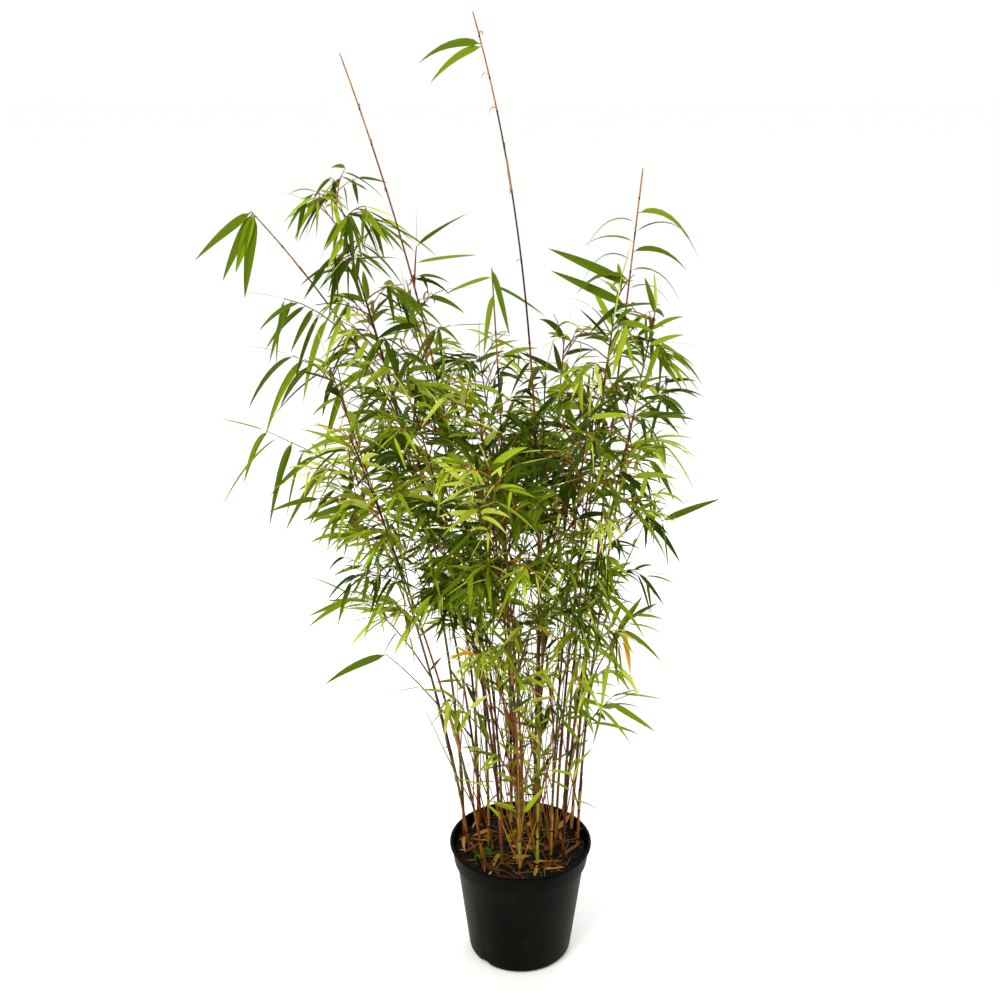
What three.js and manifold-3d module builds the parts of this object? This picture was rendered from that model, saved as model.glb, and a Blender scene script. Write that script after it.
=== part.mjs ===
// A clumping bamboo in a round nursery pot. Slender canes rise from the potting mix, lean out
// and nod at their tips. Each cane ends where its foliage begins, and its foliage is one solid:
// the thin top of the cane, leafy shoots set round it, and leaves set along each shoot.
// Millimetres, +Z up, origin on the ground under the middle of the pot.

import * as THREE from 'three';
import { mergeVertices } from 'three/addons/utils/BufferGeometryUtils.js';
import Module from 'manifold-3d';

const wasm = await Module();
wasm.setup();

// ---------------------------------------------------------------- driving dimensions

const POT_HEIGHT = 200;
const POT_RIM_RADIUS = 115;
const POT_BASE_RADIUS = 83;
const COLLAR_HEIGHT = 36;       // the stiff band below the rim
const COLLAR_STEP = 4;          // how far the band stands out from the body
const COLLAR_TAPER = 5;         // how much wider the band is at the rim than at its foot
const RIM_LIP = 2.5;            // the rolled edge beyond the band
const POT_WALL = 2.4;
const FOOT_ROUND = 8;           // how far the foot is rounded off
const POT_FLOOR = 4;
const POT_SIDES = 36;
const NOTCH_COUNT = 3;          // drain notches in the foot of the wall
const NOTCH_RADIUS = 12;
const NOTCH_ANGLE = -133.5;     // degrees round from +X to the first notch

const MIX_TOP = 184;            // height of the potting mix
const GAP = 0.3;                // clearance between neighbouring solids
const SHORTEST_EDGE = 0.03;     // finer detail is left out where solids are joined

const CANE_FOOT_RADIUS = 3.1;
const CANE_TIP_RADIUS = 1;
const CANE_SIDES = 5;
const FOOT_TRIM = 1;            // a cane's curve starts this far below its flat cut foot
const CANE_FLATS = 0.9;         // mean of its girth at the corners and at the flats
const CANE_STEPS = 6;
const STEM_STEPS = 5;           // steps of the thin top of a cane

const TWIG_SIDES = 3;
const TWIG_STEPS = 2;
const SPRAY_STEPS = 4;
const TWIG_ROOT_RADIUS = 1.7;
const TWIG_TIP_RADIUS = 1.1;
const TWIG_SHOULDER = 0.07;     // share of a twig's length at which it has its full girth

const LEAF_LENGTH = 124;        // larger than life, because there are fewer of them
const LEAF_SLENDERNESS = 6;     // length over width
const LEAF_THICKNESS = 0.015;   // of its length, at its keel
const LEAF_WIDEST = 0.4;        // share of the length at which the blade is widest
const LEAF_THICKEST = 0.14;     // share of the length at which the keel is deepest

const LEAVES_PER_SHOOT = 6;

const FIRST_SEED = 9;            // of the canes, which count on from it
const FIRST_SPRAY_SEED = 101;
const GOLDEN_TURN = THREE.MathUtils.degToRad(137.508);
const RETRY_TURN = THREE.MathUtils.degToRad(67);
const TRIES = 14;
const SAMPLE_STEP = 5;          // spacing of the points at which room is tested
const ROOT_SAMPLES = 3;         // the first samples of a leaf or shoot, which lie by what bears it
const STEM_SAMPLES = 60;
const ROOM_MARGIN = 0.5;        // least space kept to a neighbour's foliage
const LIMB_CLEARANCE = 3.6;     // kept from the middle line of a cane

// Canes: foot on the mix, tip, how sharply the lean grows with height (1 is straight), the height
// at which the foliage begins, the number and length of its leafy shoots, and how much the leaves
// turn down. A cane with no shoots carries only the tuft of leaves of its thin top.
const CANES = [
  { foot: [-52, 10], tip: [-250, 20, 1416], bend: 2.2 },
  { foot: [-70, 58], tip: [-386, 40, 1203], bend: 2.8, leafyFrom: 1120, tuft: 'nodding' },
  { foot: [-93, 30], tip: [-263, -10, 1225], bend: 1.8, leafyFrom: 840, shoots: 12, reach: 62, hang: 0.7 },
  { foot: [-84, -8], tip: [-272, -52, 1000], bend: 1.3, leafyFrom: 680, shoots: 9, reach: 66, hang: 0.6 },
  { foot: [-62, -34], tip: [-236, -170, 940], bend: 1.3, leafyFrom: 600, shoots: 10, reach: 66, hang: 0.5 },
  { foot: [-66, 70], tip: [-236, 130, 1060], bend: 1.5, leafyFrom: 610, shoots: 11, reach: 72, hang: 0.5 },
  { foot: [-36, 94], tip: [-176, 226, 1020], bend: 1.7, leafyFrom: 590, shoots: 10, reach: 70, hang: 0.5 },
  { foot: [-30, 44], tip: [-170, 84, 1080], bend: 1.8, leafyFrom: 720, shoots: 11, reach: 68, hang: 0.4 },
  { foot: [-15, 14], tip: [-45, -20, 1133], bend: 2.0, leafyFrom: 1060, tuft: 'hanging' },
  { foot: [-30, -48], tip: [-150, -160, 975], bend: 1.6, leafyFrom: 560, shoots: 12, reach: 68, hang: 0.4 },
  { foot: [-2, -72], tip: [-47, -222, 904], bend: 1.8, leafyFrom: 540, shoots: 12, reach: 66, hang: 0.4 },
  { foot: [-4, -26], tip: [-62, -84, 940], bend: 1.6, leafyFrom: 580, shoots: 13, reach: 64, hang: 0.4 },
  { foot: [26, -62], tip: [-69, -30, 1468], bend: 4.0, leafyFrom: 1385, tuft: 'left' },
  { foot: [48, -40], tip: [84, -170, 960], bend: 1.7, leafyFrom: 530, shoots: 14, reach: 66, hang: 0.4 },
  { foot: [4, 52], tip: [-66, 190, 960], bend: 1.8, leafyFrom: 560, shoots: 13, reach: 70, hang: 0.4 },
  { foot: [30, 84], tip: [70, 226, 985], bend: 1.8, leafyFrom: 560, shoots: 12, reach: 70, hang: 0.4 },
  { foot: [22, 12], tip: [34, 62, 965], bend: 1.5, leafyFrom: 540, shoots: 14, reach: 64, hang: 0.4 },
  { foot: [84, 34], tip: [166, 30, 1264], bend: 1.2, leafyFrom: 1090, tuft: 'arching' },
  { foot: [58, 6], tip: [124, -46, 1060], bend: 1.6, leafyFrom: 700, shoots: 12, reach: 64, hang: 0.4 },
  { foot: [68, -32], tip: [146, -150, 960], bend: 1.6, leafyFrom: 580, shoots: 10, reach: 54, hang: 0.5 },
  { foot: [93, 0], tip: [186, -10, 1070], bend: 1.7, leafyFrom: 700, shoots: 9, reach: 54, hang: 0.5 },
  { foot: [74, 66], tip: [146, 150, 1070], bend: 1.6, leafyFrom: 680, shoots: 10, reach: 56, hang: 0.4 },
];

// Tufts: leaves set straight on the thin top of a cane, between two shares of it. Toward is the
// side, in degrees round from +X, and both gives the other side its turn too.
const TUFTS = {
  nodding: { count: 5, from: 0.7, to: 0.96, toward: 185, hang: 2.2, spread: [5, 35], droop: [0.1, 0.3] },
  hanging: { count: 4, from: 0.55, to: 0.96, hang: 1.6, spread: [10, 60], droop: [0.05, 0.2] },
  left: { count: 2, from: 0.36, to: 0.5, toward: 180, hang: 0, spread: [70, 85], droop: [0.2, 0.4] },
  arching: {
    count: 6, from: 0.1, to: 0.76, toward: 0, both: true, hang: 0, spread: [55, 75], droop: [0.35, 0.6],
  },
  top: { count: 3, from: 0.9, to: 0.99, hang: 0.5, spread: [20, 60], droop: [0.05, 0.25] },
};

// Side sprays: long side shoots that start on a bare stretch of a cane. The host is counted in
// CANES from 1, from is the height at which the spray leaves it, and lift is how far it arches
// above the straight line to its tip.
const SPRAYS = [
  { name: 'spray_left_high', host: 2, from: 1010, tip: [-336, -20, 1090], lift: 12, leaves: 6, hang: 1.6 },
  { name: 'spray_left_upper', host: 2, from: 850, tip: [-340, 60, 990], lift: 18, leaves: 7, hang: 1.6 },
  { name: 'spray_left_middle', host: 2, from: 660, tip: [-380, 20, 886], lift: 26, leaves: 9, hang: 1.4 },
  { name: 'spray_left_lower', host: 4, from: 500, tip: [-250, -30, 640], lift: 18, leaves: 5, hang: 0.8 },
  { name: 'spray_left_low', host: 5, from: 450, tip: [-205, -60, 560], lift: 8, leaves: 2, hang: 0.2 },
  { name: 'spray_leader_left', host: 1, from: 1100, tip: [-150, 0, 1160], lift: 8, leaves: 3, hang: 0.5 },
  { name: 'spray_right_lower', host: 21, from: 480, tip: [160, -40, 600], lift: 14, leaves: 5, hang: 0.6 },
  { name: 'spray_right_low', host: 20, from: 380, tip: [132, -80, 490], lift: 14, leaves: 4, hang: 0.8 },
  { name: 'spray_front_low', host: 11, from: 330, tip: [-40, -110, 420], lift: 10, leaves: 3, hang: 0.5 },
  { name: 'spray_front_middle', host: 14, from: 400, tip: [64, -120, 510], lift: 14, leaves: 4, hang: 0.8 },
  { name: 'spray_front_left', host: 10, from: 400, tip: [-110, -130, 520], lift: 14, leaves: 5, hang: 0.6 },
  { name: 'spray_front_right', host: 20, from: 470, tip: [120, -170, 590], lift: 14, leaves: 5, hang: 0.6 },
  { name: 'spray_front_high', host: 11, from: 480, tip: [0, -190, 590], lift: 14, leaves: 6, hang: 0.6 },
  { name: 'spray_back_low', host: 16, from: 400, tip: [60, 160, 510], lift: 14, leaves: 5, hang: 0.8 },
  { name: 'spray_back_left', host: 7, from: 420, tip: [-120, 170, 540], lift: 14, leaves: 5, hang: 0.6 },
];

const UP = new THREE.Vector3(0, 0, 1);

// ---------------------------------------------------------------- seeded numbers

function seededNumbers(seed) {
  let state = (seed * 2654435761) % 4294967296;
  return (low, high) => {
    state = (Math.imul(state, 1664525) + 1013904223) >>> 0;
    return low + ((high - low) * state) / 4294967296;
  };
}

// ---------------------------------------------------------------- curves

class CaneCurve extends THREE.Curve {
  constructor({ foot, tip, bend }) {
    super();
    this.foot = new THREE.Vector3(foot[0], foot[1], MIX_TOP - FOOT_TRIM);
    this.tip = new THREE.Vector3(...tip);
    this.bend = bend;
  }

  getPoint(t, target = new THREE.Vector3()) {
    const lean = t ** this.bend;
    return target.set(
      THREE.MathUtils.lerp(this.foot.x, this.tip.x, lean),
      THREE.MathUtils.lerp(this.foot.y, this.tip.y, lean),
      THREE.MathUtils.lerp(this.foot.z, this.tip.z, t),
    );
  }

  shareAtHeight(z) {
    return (z - this.foot.z) / (this.tip.z - this.foot.z);
  }
}

// A curve as a chain of straight stretches, so that what grows on it is rooted inside the
// faceted solid that is bent along it.
class ChainCurve extends THREE.Curve {
  constructor(points) {
    super();
    this.points = points;
  }

  getPoint(t, target = new THREE.Vector3()) {
    const along = t * (this.points.length - 1);
    const i = Math.min(Math.floor(along), this.points.length - 2);
    return target.lerpVectors(this.points[i], this.points[i + 1], along - i);
  }
}

// A shoot rises from its root and arches over to its tip.
function shootCurve(root, tip, lift, steps = TWIG_STEPS) {
  const control = root.clone().lerp(tip, 0.5).addScaledVector(UP, 2 * lift);
  const arch = new THREE.QuadraticBezierCurve3(root, control, tip);
  return new ChainCurve(sampled(arch, 0, 1, steps));
}

function caneRadius(t) {
  return THREE.MathUtils.lerp(CANE_FOOT_RADIUS, CANE_TIP_RADIUS, t);
}

function sampled(curve, from, to, steps) {
  return Array.from({ length: steps + 1 }, (_, i) => curve.getPoint(from + ((to - from) * i) / steps));
}

// ---------------------------------------------------------------- room tests

function distanceToPath(point, path) {
  let nearest = Infinity;
  const segment = new THREE.Line3();
  const closest = new THREE.Vector3();
  for (let i = 1; i < path.length; i++) {
    segment.set(path[i - 1], path[i]);
    segment.closestPointToPoint(point, true, closest);
    nearest = Math.min(nearest, closest.distanceTo(point));
  }
  return nearest;
}

function isClearOf(paths, samples, clearance) {
  return samples.every(({ point, radius }) => paths.every(
    (path) => distanceToPath(point, path) > radius + clearance,
  ));
}

// True while every sample stays nearer to its own stem than to any other.
function isNearest(own, stems, samples) {
  return samples.every(({ point, radius }) => {
    const home = distanceToPath(point, own);
    return stems.every((stem) => stem === own
      || distanceToPath(point, stem) - home > 2 * radius + ROOM_MARGIN);
  });
}

function keepsApart(samples, placed) {
  return samples.every(({ point, radius }) => placed.every(
    (other) => point.distanceTo(other.point) > radius + other.radius,
  ));
}

// ---------------------------------------------------------------- solids

function toSolid(geometry) {
  geometry.deleteAttribute('normal');
  geometry.deleteAttribute('uv');
  const merged = mergeVertices(geometry, 1e-4);
  return new wasm.Manifold(new wasm.Mesh({
    numProp: 3,
    vertProperties: Float32Array.from(merged.attributes.position.array),
    triVerts: Uint32Array.from(merged.index.array),
  }));
}

// Joins solids into one closed body: loose scraps are dropped and sealed hollows are filled.
function fuse(solids) {
  const bodies = wasm.Manifold.union(solids).simplify(SHORTEST_EDGE).decompose();
  return bodies.reduce((best, body) => (body.volume() > best.volume() ? body : best));
}

function toGeometry(solid) {
  const mesh = solid.getMesh();
  const geometry = new THREE.BufferGeometry();
  geometry.setAttribute('position', new THREE.BufferAttribute(mesh.vertProperties, 3));
  geometry.setIndex(new THREE.BufferAttribute(mesh.triVerts, 1));
  geometry.computeVertexNormals();
  return geometry;
}

// Bends a shape that stands on the origin, one unit high, along a curve.
function bendAlong(geometry, curve) {
  const place = geometry.attributes.position;
  const reference = Math.abs(curve.getTangent(0).x) < 0.7
    ? new THREE.Vector3(1, 0, 0) : new THREE.Vector3(0, 1, 0);
  for (let i = 0; i < place.count; i++) {
    const tangent = curve.getTangent(place.getY(i));
    const side = reference.clone().addScaledVector(tangent, -reference.dot(tangent)).normalize();
    const across = new THREE.Vector3().crossVectors(side, tangent);
    const point = curve.getPoint(place.getY(i))
      .addScaledVector(side, place.getX(i))
      .addScaledVector(across, place.getZ(i));
    place.setXYZ(i, point.x, point.y, point.z);
  }
  return toSolid(geometry);
}

// A limb with two flat ends that tapers along a curve.
function limbSolid(curve, rootRadius, tipRadius, sides, steps) {
  const geometry = new THREE.CylinderGeometry(tipRadius, rootRadius, 1, sides, steps);
  return bendAlong(geometry.translate(0, 0.5, 0), curve);
}

// A three-sided twig whose root narrows to a point inside the stem that bears it.
function twigSolid(curve) {
  const outline = [
    [0, 0],
    [TWIG_ROOT_RADIUS, TWIG_SHOULDER],
    [(TWIG_ROOT_RADIUS + TWIG_TIP_RADIUS) / 2, 0.5],
    [TWIG_TIP_RADIUS, 1],
    [0, 1],
  ];
  const profile = outline.map(([radius, height]) => new THREE.Vector2(radius, height));
  return bendAlong(new THREE.LatheGeometry(profile, TWIG_SIDES), curve);
}

// ---------------------------------------------------------------- leaves and shoots

// A leaf is a long blade of six faces, flat above and keeled below, that droops from its root.
function leafPoint(leaf, share) {
  return leaf.root.clone()
    .addScaledVector(leaf.direction, leaf.length * share)
    .addScaledVector(UP, -leaf.droop * leaf.length * share * share);
}

function leafSamples(leaf) {
  const count = Math.ceil(leaf.length / SAMPLE_STEP);
  return Array.from({ length: count }, (_, i) => {
    const share = (i + 1) / count;
    const taper = Math.min(share / LEAF_WIDEST, (1 - share) / (1 - LEAF_WIDEST));
    return { point: leafPoint(leaf, share), radius: 0.6 + (taper * leaf.length) / LEAF_SLENDERNESS / 2 };
  });
}

function leafSolid(leaf) {
  const geometry = new THREE.SphereGeometry(1, 3, 2);
  const place = geometry.attributes.position;
  const halfWidth = leaf.length / LEAF_SLENDERNESS / 2;
  const middle = leafPoint(leaf, LEAF_WIDEST);
  const lowest = leaf.root.clone().lerp(middle, LEAF_THICKEST / LEAF_WIDEST);
  const upper = new THREE.Vector3().crossVectors(middle.clone().sub(leaf.root), leaf.across).normalize();
  for (let i = 0; i < place.count; i++) {
    const [x, y, z] = [place.getX(i), place.getY(i), place.getZ(i)];
    const point = middle.clone().addScaledVector(leaf.across, Math.sign(z) * halfWidth);
    if (Math.abs(y) > 0.5) {
      point.copy(leafPoint(leaf, (y + 1) / 2));
    } else if (x < -0.5) {
      point.copy(lowest).addScaledVector(upper, -leaf.length * LEAF_THICKNESS);
    }
    place.setXYZ(i, point.x, point.y, point.z);
  }
  return toSolid(geometry);
}

// A leaf leaves its shoot to one side, turned down by hang, and rolled a little about itself.
function aimLeaf(curve, share, sideways, { spread, hang, droop }, number) {
  const tangent = curve.getTangent(share);
  const opening = THREE.MathUtils.degToRad(number(...spread));
  const direction = tangent.multiplyScalar(Math.cos(opening))
    .addScaledVector(sideways, Math.sin(opening))
    .addScaledVector(UP, -hang * number(0.4, 1.2))
    .normalize();
  const across = new THREE.Vector3().crossVectors(UP, direction).normalize()
    .applyAxisAngle(direction, number(-0.7, 0.7));
  const length = LEAF_LENGTH * number(0.78, 1.08);
  return { root: curve.getPoint(share), direction, across, length, droop: number(...droop) };
}

// The two sides of a shoot at a point of it, turned a little, or a side of an upright stem.
function sidewaysAt(curve, share, side, turn, number) {
  const tangent = curve.getTangent(share);
  if (turn === null) {
    return new THREE.Vector3().crossVectors(tangent, UP).normalize().multiplyScalar(side)
      .applyAxisAngle(tangent, number(-1, 1));
  }
  return new THREE.Vector3(Math.cos(turn), Math.sin(turn), 0);
}

// Tries to set each leaf of a row, and leaves out one that finds no room.
function leavesAlong(curve, row, turnOf, number, room, placed) {
  const leaves = [];
  for (let i = 0; i < row.count; i++) {
    const climb = row.count === 1 ? 1 : i / (row.count - 1);
    const share = THREE.MathUtils.lerp(row.from, row.to, climb);
    for (let attempt = 0; attempt < TRIES; attempt++) {
      const side = (i + attempt) % 2 ? 1 : -1;
      const aim = { ...row, hang: row.hang + 0.15 * attempt };
      const sideways = sidewaysAt(curve, share, side, turnOf(i, attempt), number);
      const leaf = aimLeaf(curve, share, sideways, aim, number);
      const samples = leafSamples(leaf);
      const blade = samples.slice(ROOT_SAMPLES);
      if (keepsApart(blade, placed) && room(samples)) {
        leaves.push(leaf);
        placed.push(...blade);
        break;
      }
    }
  }
  return leaves;
}

function shootFrom(root, azimuth, reach, number) {
  const rise = THREE.MathUtils.degToRad(number(8, 52));
  const tip = root.clone().add(new THREE.Vector3(
    Math.cos(azimuth) * Math.cos(rise) * reach,
    Math.sin(azimuth) * Math.cos(rise) * reach,
    Math.sin(rise) * reach,
  ));
  return shootCurve(root, tip, reach * 0.1);
}

function shootSamples(curve, reach) {
  const count = Math.ceil(reach / SAMPLE_STEP);
  return Array.from({ length: count }, (_, i) => (
    { point: curve.getPoint((i + 1) / count), radius: TWIG_ROOT_RADIUS }
  ));
}

// ---------------------------------------------------------------- the plant's limbs and foliage

const caneCurves = CANES.map((cane) => new CaneCurve(cane));
const caneEnds = CANES.map(({ leafyFrom }, i) => (
  leafyFrom ? caneCurves[i].shareAtHeight(leafyFrom) : 1
));
const topStarts = caneEnds.map((end, i) => end + GAP / caneCurves[i].getLength());

// The bare limb of each cane, and its thin top, which begins just above the limb's end.
const limbCurves = caneCurves.map((curve, i) => (
  new ChainCurve(sampled(curve, 0, caneEnds[i], CANE_STEPS))
));
const topCurves = caneCurves.map((curve, i) => (
  new ChainCurve(sampled(curve, topStarts[i], 1, STEM_STEPS))
));
const limbPaths = limbCurves.map((curve) => curve.points);
const crownPaths = topCurves.map((curve) => curve.points).filter((path, i) => CANES[i].shoots);

// A spray starts just clear of its host's surface.
const sprayCurves = SPRAYS.map(({ host, from, tip: [x, y, z], lift }) => {
  const share = caneCurves[host - 1].shareAtHeight(from);
  const axis = limbCurves[host - 1].getPoint(share / caneEnds[host - 1]);
  const tip = new THREE.Vector3(x, y, z);
  const outward = new THREE.Vector3(x - axis.x, y - axis.y, 0).normalize();
  const heading = shootCurve(axis, tip, lift, SPRAY_STEPS).getTangent(0);
  const tilt = Math.sqrt(1 - heading.dot(outward) ** 2);
  const standOff = caneRadius(share) * CANE_FLATS + GAP + TWIG_ROOT_RADIUS * tilt;
  return shootCurve(axis.clone().addScaledVector(outward, standOff), tip, lift, SPRAY_STEPS);
});

// Sprays and tufts are set first, and the crown's foliage keeps off the room that they take. Each
// sample of that room is marked with its owner.
const taken = [];

function takeRoom(samples, owner) {
  samples.forEach((sample) => taken.push({ ...sample, owner }));
}

function stemSamples(curve, to = 1) {
  return sampled(curve, 0, to, STEM_SAMPLES).map((point) => ({ point, radius: TWIG_ROOT_RADIUS }));
}

function roomForFirst(owner) {
  return (samples) => isClearOf(limbPaths, samples, LIMB_CLEARANCE)
    && isClearOf(crownPaths, samples, LIMB_CLEARANCE)
    && keepsApart(samples, taken.filter((other) => other.owner !== owner));
}

function roomInCrown(own) {
  return (samples) => isClearOf(limbPaths, samples, LIMB_CLEARANCE)
    && keepsApart(samples, taken)
    && isNearest(own, crownPaths, samples);
}

function caneSolid(i) {
  const tipRadius = caneRadius(caneEnds[i]);
  return limbSolid(limbCurves[i], CANE_FOOT_RADIUS, tipRadius, CANE_SIDES, CANE_STEPS)
    .trimByPlane([0, 0, 1], MIX_TOP + GAP);
}

function topSolid(i) {
  return limbSolid(topCurves[i], caneRadius(topStarts[i]), CANE_TIP_RADIUS, TWIG_SIDES, STEM_STEPS);
}

function tuftLeaves(i, number, room, placed) {
  const tuft = TUFTS[CANES[i].tuft ?? 'top'];
  const { toward, both } = tuft;
  const turnOf = (leaf, attempt) => (toward === undefined
    ? FIRST_SEED + i + leaf * GOLDEN_TURN + attempt * RETRY_TURN
    : THREE.MathUtils.degToRad(toward) + (both && leaf % 2 ? Math.PI : 0) + 0.25 * attempt);
  return leavesAlong(topCurves[i], tuft, turnOf, number, room, placed);
}

// A bare cane's top carries a tuft of leaves and nothing else.
function tuftedTop(i) {
  const owner = numbered('foliage', i);
  takeRoom(stemSamples(topCurves[i]), owner);
  const leaves = tuftLeaves(i, seededNumbers(FIRST_SEED + i), roomForFirst(owner), []);
  leaves.forEach((leaf) => takeRoom(leafSamples(leaf), owner));
  return fuse([topSolid(i), ...leaves.map(leafSolid)]);
}

function sprayFoliage(i) {
  const { name, leaves: count, hang } = SPRAYS[i];
  const curve = sprayCurves[i];
  const row = { count, from: 0.5, to: 0.985, hang, spread: [14, 50], droop: [0.04, 0.25] };
  const number = seededNumbers(FIRST_SPRAY_SEED + i);
  takeRoom(stemSamples(curve), name);
  const leaves = leavesAlong(curve, row, () => null, number, roomForFirst(name), []);
  leaves.forEach((leaf) => takeRoom(leafSamples(leaf), name));
  const twig = limbSolid(curve, TWIG_ROOT_RADIUS, TWIG_TIP_RADIUS, TWIG_SIDES, SPRAY_STEPS);
  return fuse([twig, ...leaves.map(leafSolid)]);
}

// The crown's foliage: shoots set round the thin top of a cane at the golden turn, each turned on
// until it finds room, with leaves along it, and a tuft at the tip.
function crownFoliage(i) {
  const { shoots, reach, hang } = CANES[i];
  const stem = topCurves[i];
  const number = seededNumbers(FIRST_SEED + i);
  const room = roomInCrown(stem.points);
  const placed = stemSamples(stem, 0.85);
  const solids = [topSolid(i)];
  const row = { count: LEAVES_PER_SHOOT, from: 0.4, to: 0.985, hang, spread: [24, 64], droop: [0.04, 0.25] };
  for (let k = 0; k < shoots; k++) {
    const climb = (k + 0.4) / shoots;
    const root = stem.getPoint(climb);
    const length = reach * THREE.MathUtils.lerp(1, 0.6, climb) * number(0.8, 1.15);
    for (let attempt = 0; attempt < TRIES; attempt++) {
      const azimuth = FIRST_SEED + i + k * GOLDEN_TURN + attempt * RETRY_TURN;
      const shoot = shootFrom(root, azimuth, length, number);
      const samples = shootSamples(shoot, length).slice(ROOT_SAMPLES);
      if (!room(samples) || !keepsApart(samples, placed)) continue;
      const leaves = leavesAlong(shoot, row, () => null, number, room, placed);
      if (leaves.length < 2) continue;
      placed.push(...samples);
      solids.push(twigSolid(shoot), ...leaves.map(leafSolid));
      break;
    }
  }
  solids.push(...tuftLeaves(i, number, room, placed).map(leafSolid));
  return fuse(solids);
}

// ---------------------------------------------------------------- pot and potting mix

const COLLAR_FOOT_RADIUS = POT_RIM_RADIUS - RIM_LIP - COLLAR_TAPER;
const BODY_TOP_RADIUS = COLLAR_FOOT_RADIUS - COLLAR_STEP;
const BODY_HEIGHT = POT_HEIGHT - COLLAR_HEIGHT;

function revolve(outline) {
  const profile = outline.map(([radius, height]) => new THREE.Vector2(radius, height));
  return toSolid(new THREE.LatheGeometry(profile, POT_SIDES).rotateX(Math.PI / 2));
}

// The inside of the wall, from the floor to the rim.
const INSIDE = [
  [POT_BASE_RADIUS - POT_WALL, POT_FLOOR],
  [BODY_TOP_RADIUS - POT_WALL, BODY_HEIGHT - POT_WALL],
  [COLLAR_FOOT_RADIUS - POT_WALL, BODY_HEIGHT + POT_WALL],
  [POT_RIM_RADIUS - RIM_LIP - POT_WALL, POT_HEIGHT - 1],
];

function potSolid() {
  const shell = revolve([
    [0, 0],
    [POT_BASE_RADIUS - FOOT_ROUND, 0],
    [POT_BASE_RADIUS - FOOT_ROUND / 3, FOOT_ROUND / 4],
    [POT_BASE_RADIUS + 0.6, FOOT_ROUND],
    [BODY_TOP_RADIUS, BODY_HEIGHT],
    [COLLAR_FOOT_RADIUS, BODY_HEIGHT],
    [POT_RIM_RADIUS - RIM_LIP, POT_HEIGHT - 6],
    [POT_RIM_RADIUS, POT_HEIGHT - 5],
    [POT_RIM_RADIUS, POT_HEIGHT - 1],
    [POT_RIM_RADIUS - 1, POT_HEIGHT],
    [POT_RIM_RADIUS - RIM_LIP - POT_WALL + 1, POT_HEIGHT],
    ...[...INSIDE].reverse(),
    [0, POT_FLOOR],
  ]);
  const notches = Array.from({ length: NOTCH_COUNT }, (_, i) => {
    const cutter = new THREE.CylinderGeometry(NOTCH_RADIUS, NOTCH_RADIUS, 30, 12);
    cutter.rotateZ(Math.PI / 2).translate(POT_BASE_RADIUS + 3, 0, -2);
    cutter.rotateZ(THREE.MathUtils.degToRad(NOTCH_ANGLE) + (i * 2 * Math.PI) / NOTCH_COUNT);
    return toSolid(cutter);
  });
  return shell.subtract(wasm.Manifold.union(notches));
}

// The mix fills the pot to just below the rim and keeps the gap to the wall and the floor.
function mixSolid() {
  const wallSlope = (BODY_TOP_RADIUS - POT_BASE_RADIUS) / BODY_HEIGHT;
  const floorHeight = POT_FLOOR + GAP;
  const [, kneeLow, kneeHigh, rim] = INSIDE;
  const collarSlope = (rim[0] - kneeHigh[0]) / (rim[1] - kneeHigh[1]);
  return revolve([
    [0, floorHeight],
    [POT_BASE_RADIUS - POT_WALL - 2 * GAP + wallSlope * GAP, floorHeight],
    [kneeLow[0] - 2 * GAP, kneeLow[1] + GAP],
    [kneeHigh[0] - 2 * GAP, kneeHigh[1] + GAP],
    [kneeHigh[0] - 2 * GAP + collarSlope * (MIX_TOP - kneeHigh[1]), MIX_TOP],
    [0, MIX_TOP],
  ]);
}

// ---------------------------------------------------------------- colours

const CANE_COLOURS = [0x6e5a2c, 0x5c4a24, 0x4b3320, 0x74602f, 0x5d6228];
const LEAF_COLOURS = [0x5f7d12, 0x4f6d10, 0x72871c, 0x466310, 0x67851a];

function named(name, solidGeometry, colour, roughness, metalness = 0) {
  const material = new THREE.MeshStandardMaterial({ color: colour, roughness, metalness });
  const mesh = new THREE.Mesh(solidGeometry, material);
  mesh.name = name;
  return mesh;
}

function numbered(stem, i) {
  return `${stem}_${String(i + 1).padStart(2, '0')}`;
}

// ---------------------------------------------------------------- assembly

const group = new THREE.Group();
group.add(named('pot', toGeometry(potSolid()), 0x1c1c1a, 0.45));
group.add(named('potting_mix', toGeometry(mixSolid()), 0x2a1c12, 0.95));

CANES.forEach((cane, i) => {
  const colour = CANE_COLOURS[i % CANE_COLOURS.length];
  group.add(named(numbered('cane', i), toGeometry(caneSolid(i)), colour, 0.5));
});

function addFoliage(name, solid, i) {
  group.add(named(name, toGeometry(solid), LEAF_COLOURS[i % LEAF_COLOURS.length], 0.55));
}

SPRAYS.forEach(({ name }, i) => addFoliage(name, sprayFoliage(i), i));
CANES.forEach(({ tuft }, i) => tuft && addFoliage(numbered('foliage', i), tuftedTop(i), i));
CANES.forEach(({ shoots }, i) => shoots && addFoliage(numbered('foliage', i), crownFoliage(i), i));

export default group;
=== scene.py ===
# %% [markdown]
# A clumping bamboo in a black nursery pot.
#
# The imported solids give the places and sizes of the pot, the potting mix, the canes and every mass
# of foliage. This lesson puts the living plant over them: canes with joints and papery sheaths,
# twigs that branch by one seeded rule, and some 4,500 narrow leaves.

# %% Load the frame
import math

import bmesh
import bpy
import numpy as np
from mathutils import Matrix, Vector, noise


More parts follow.
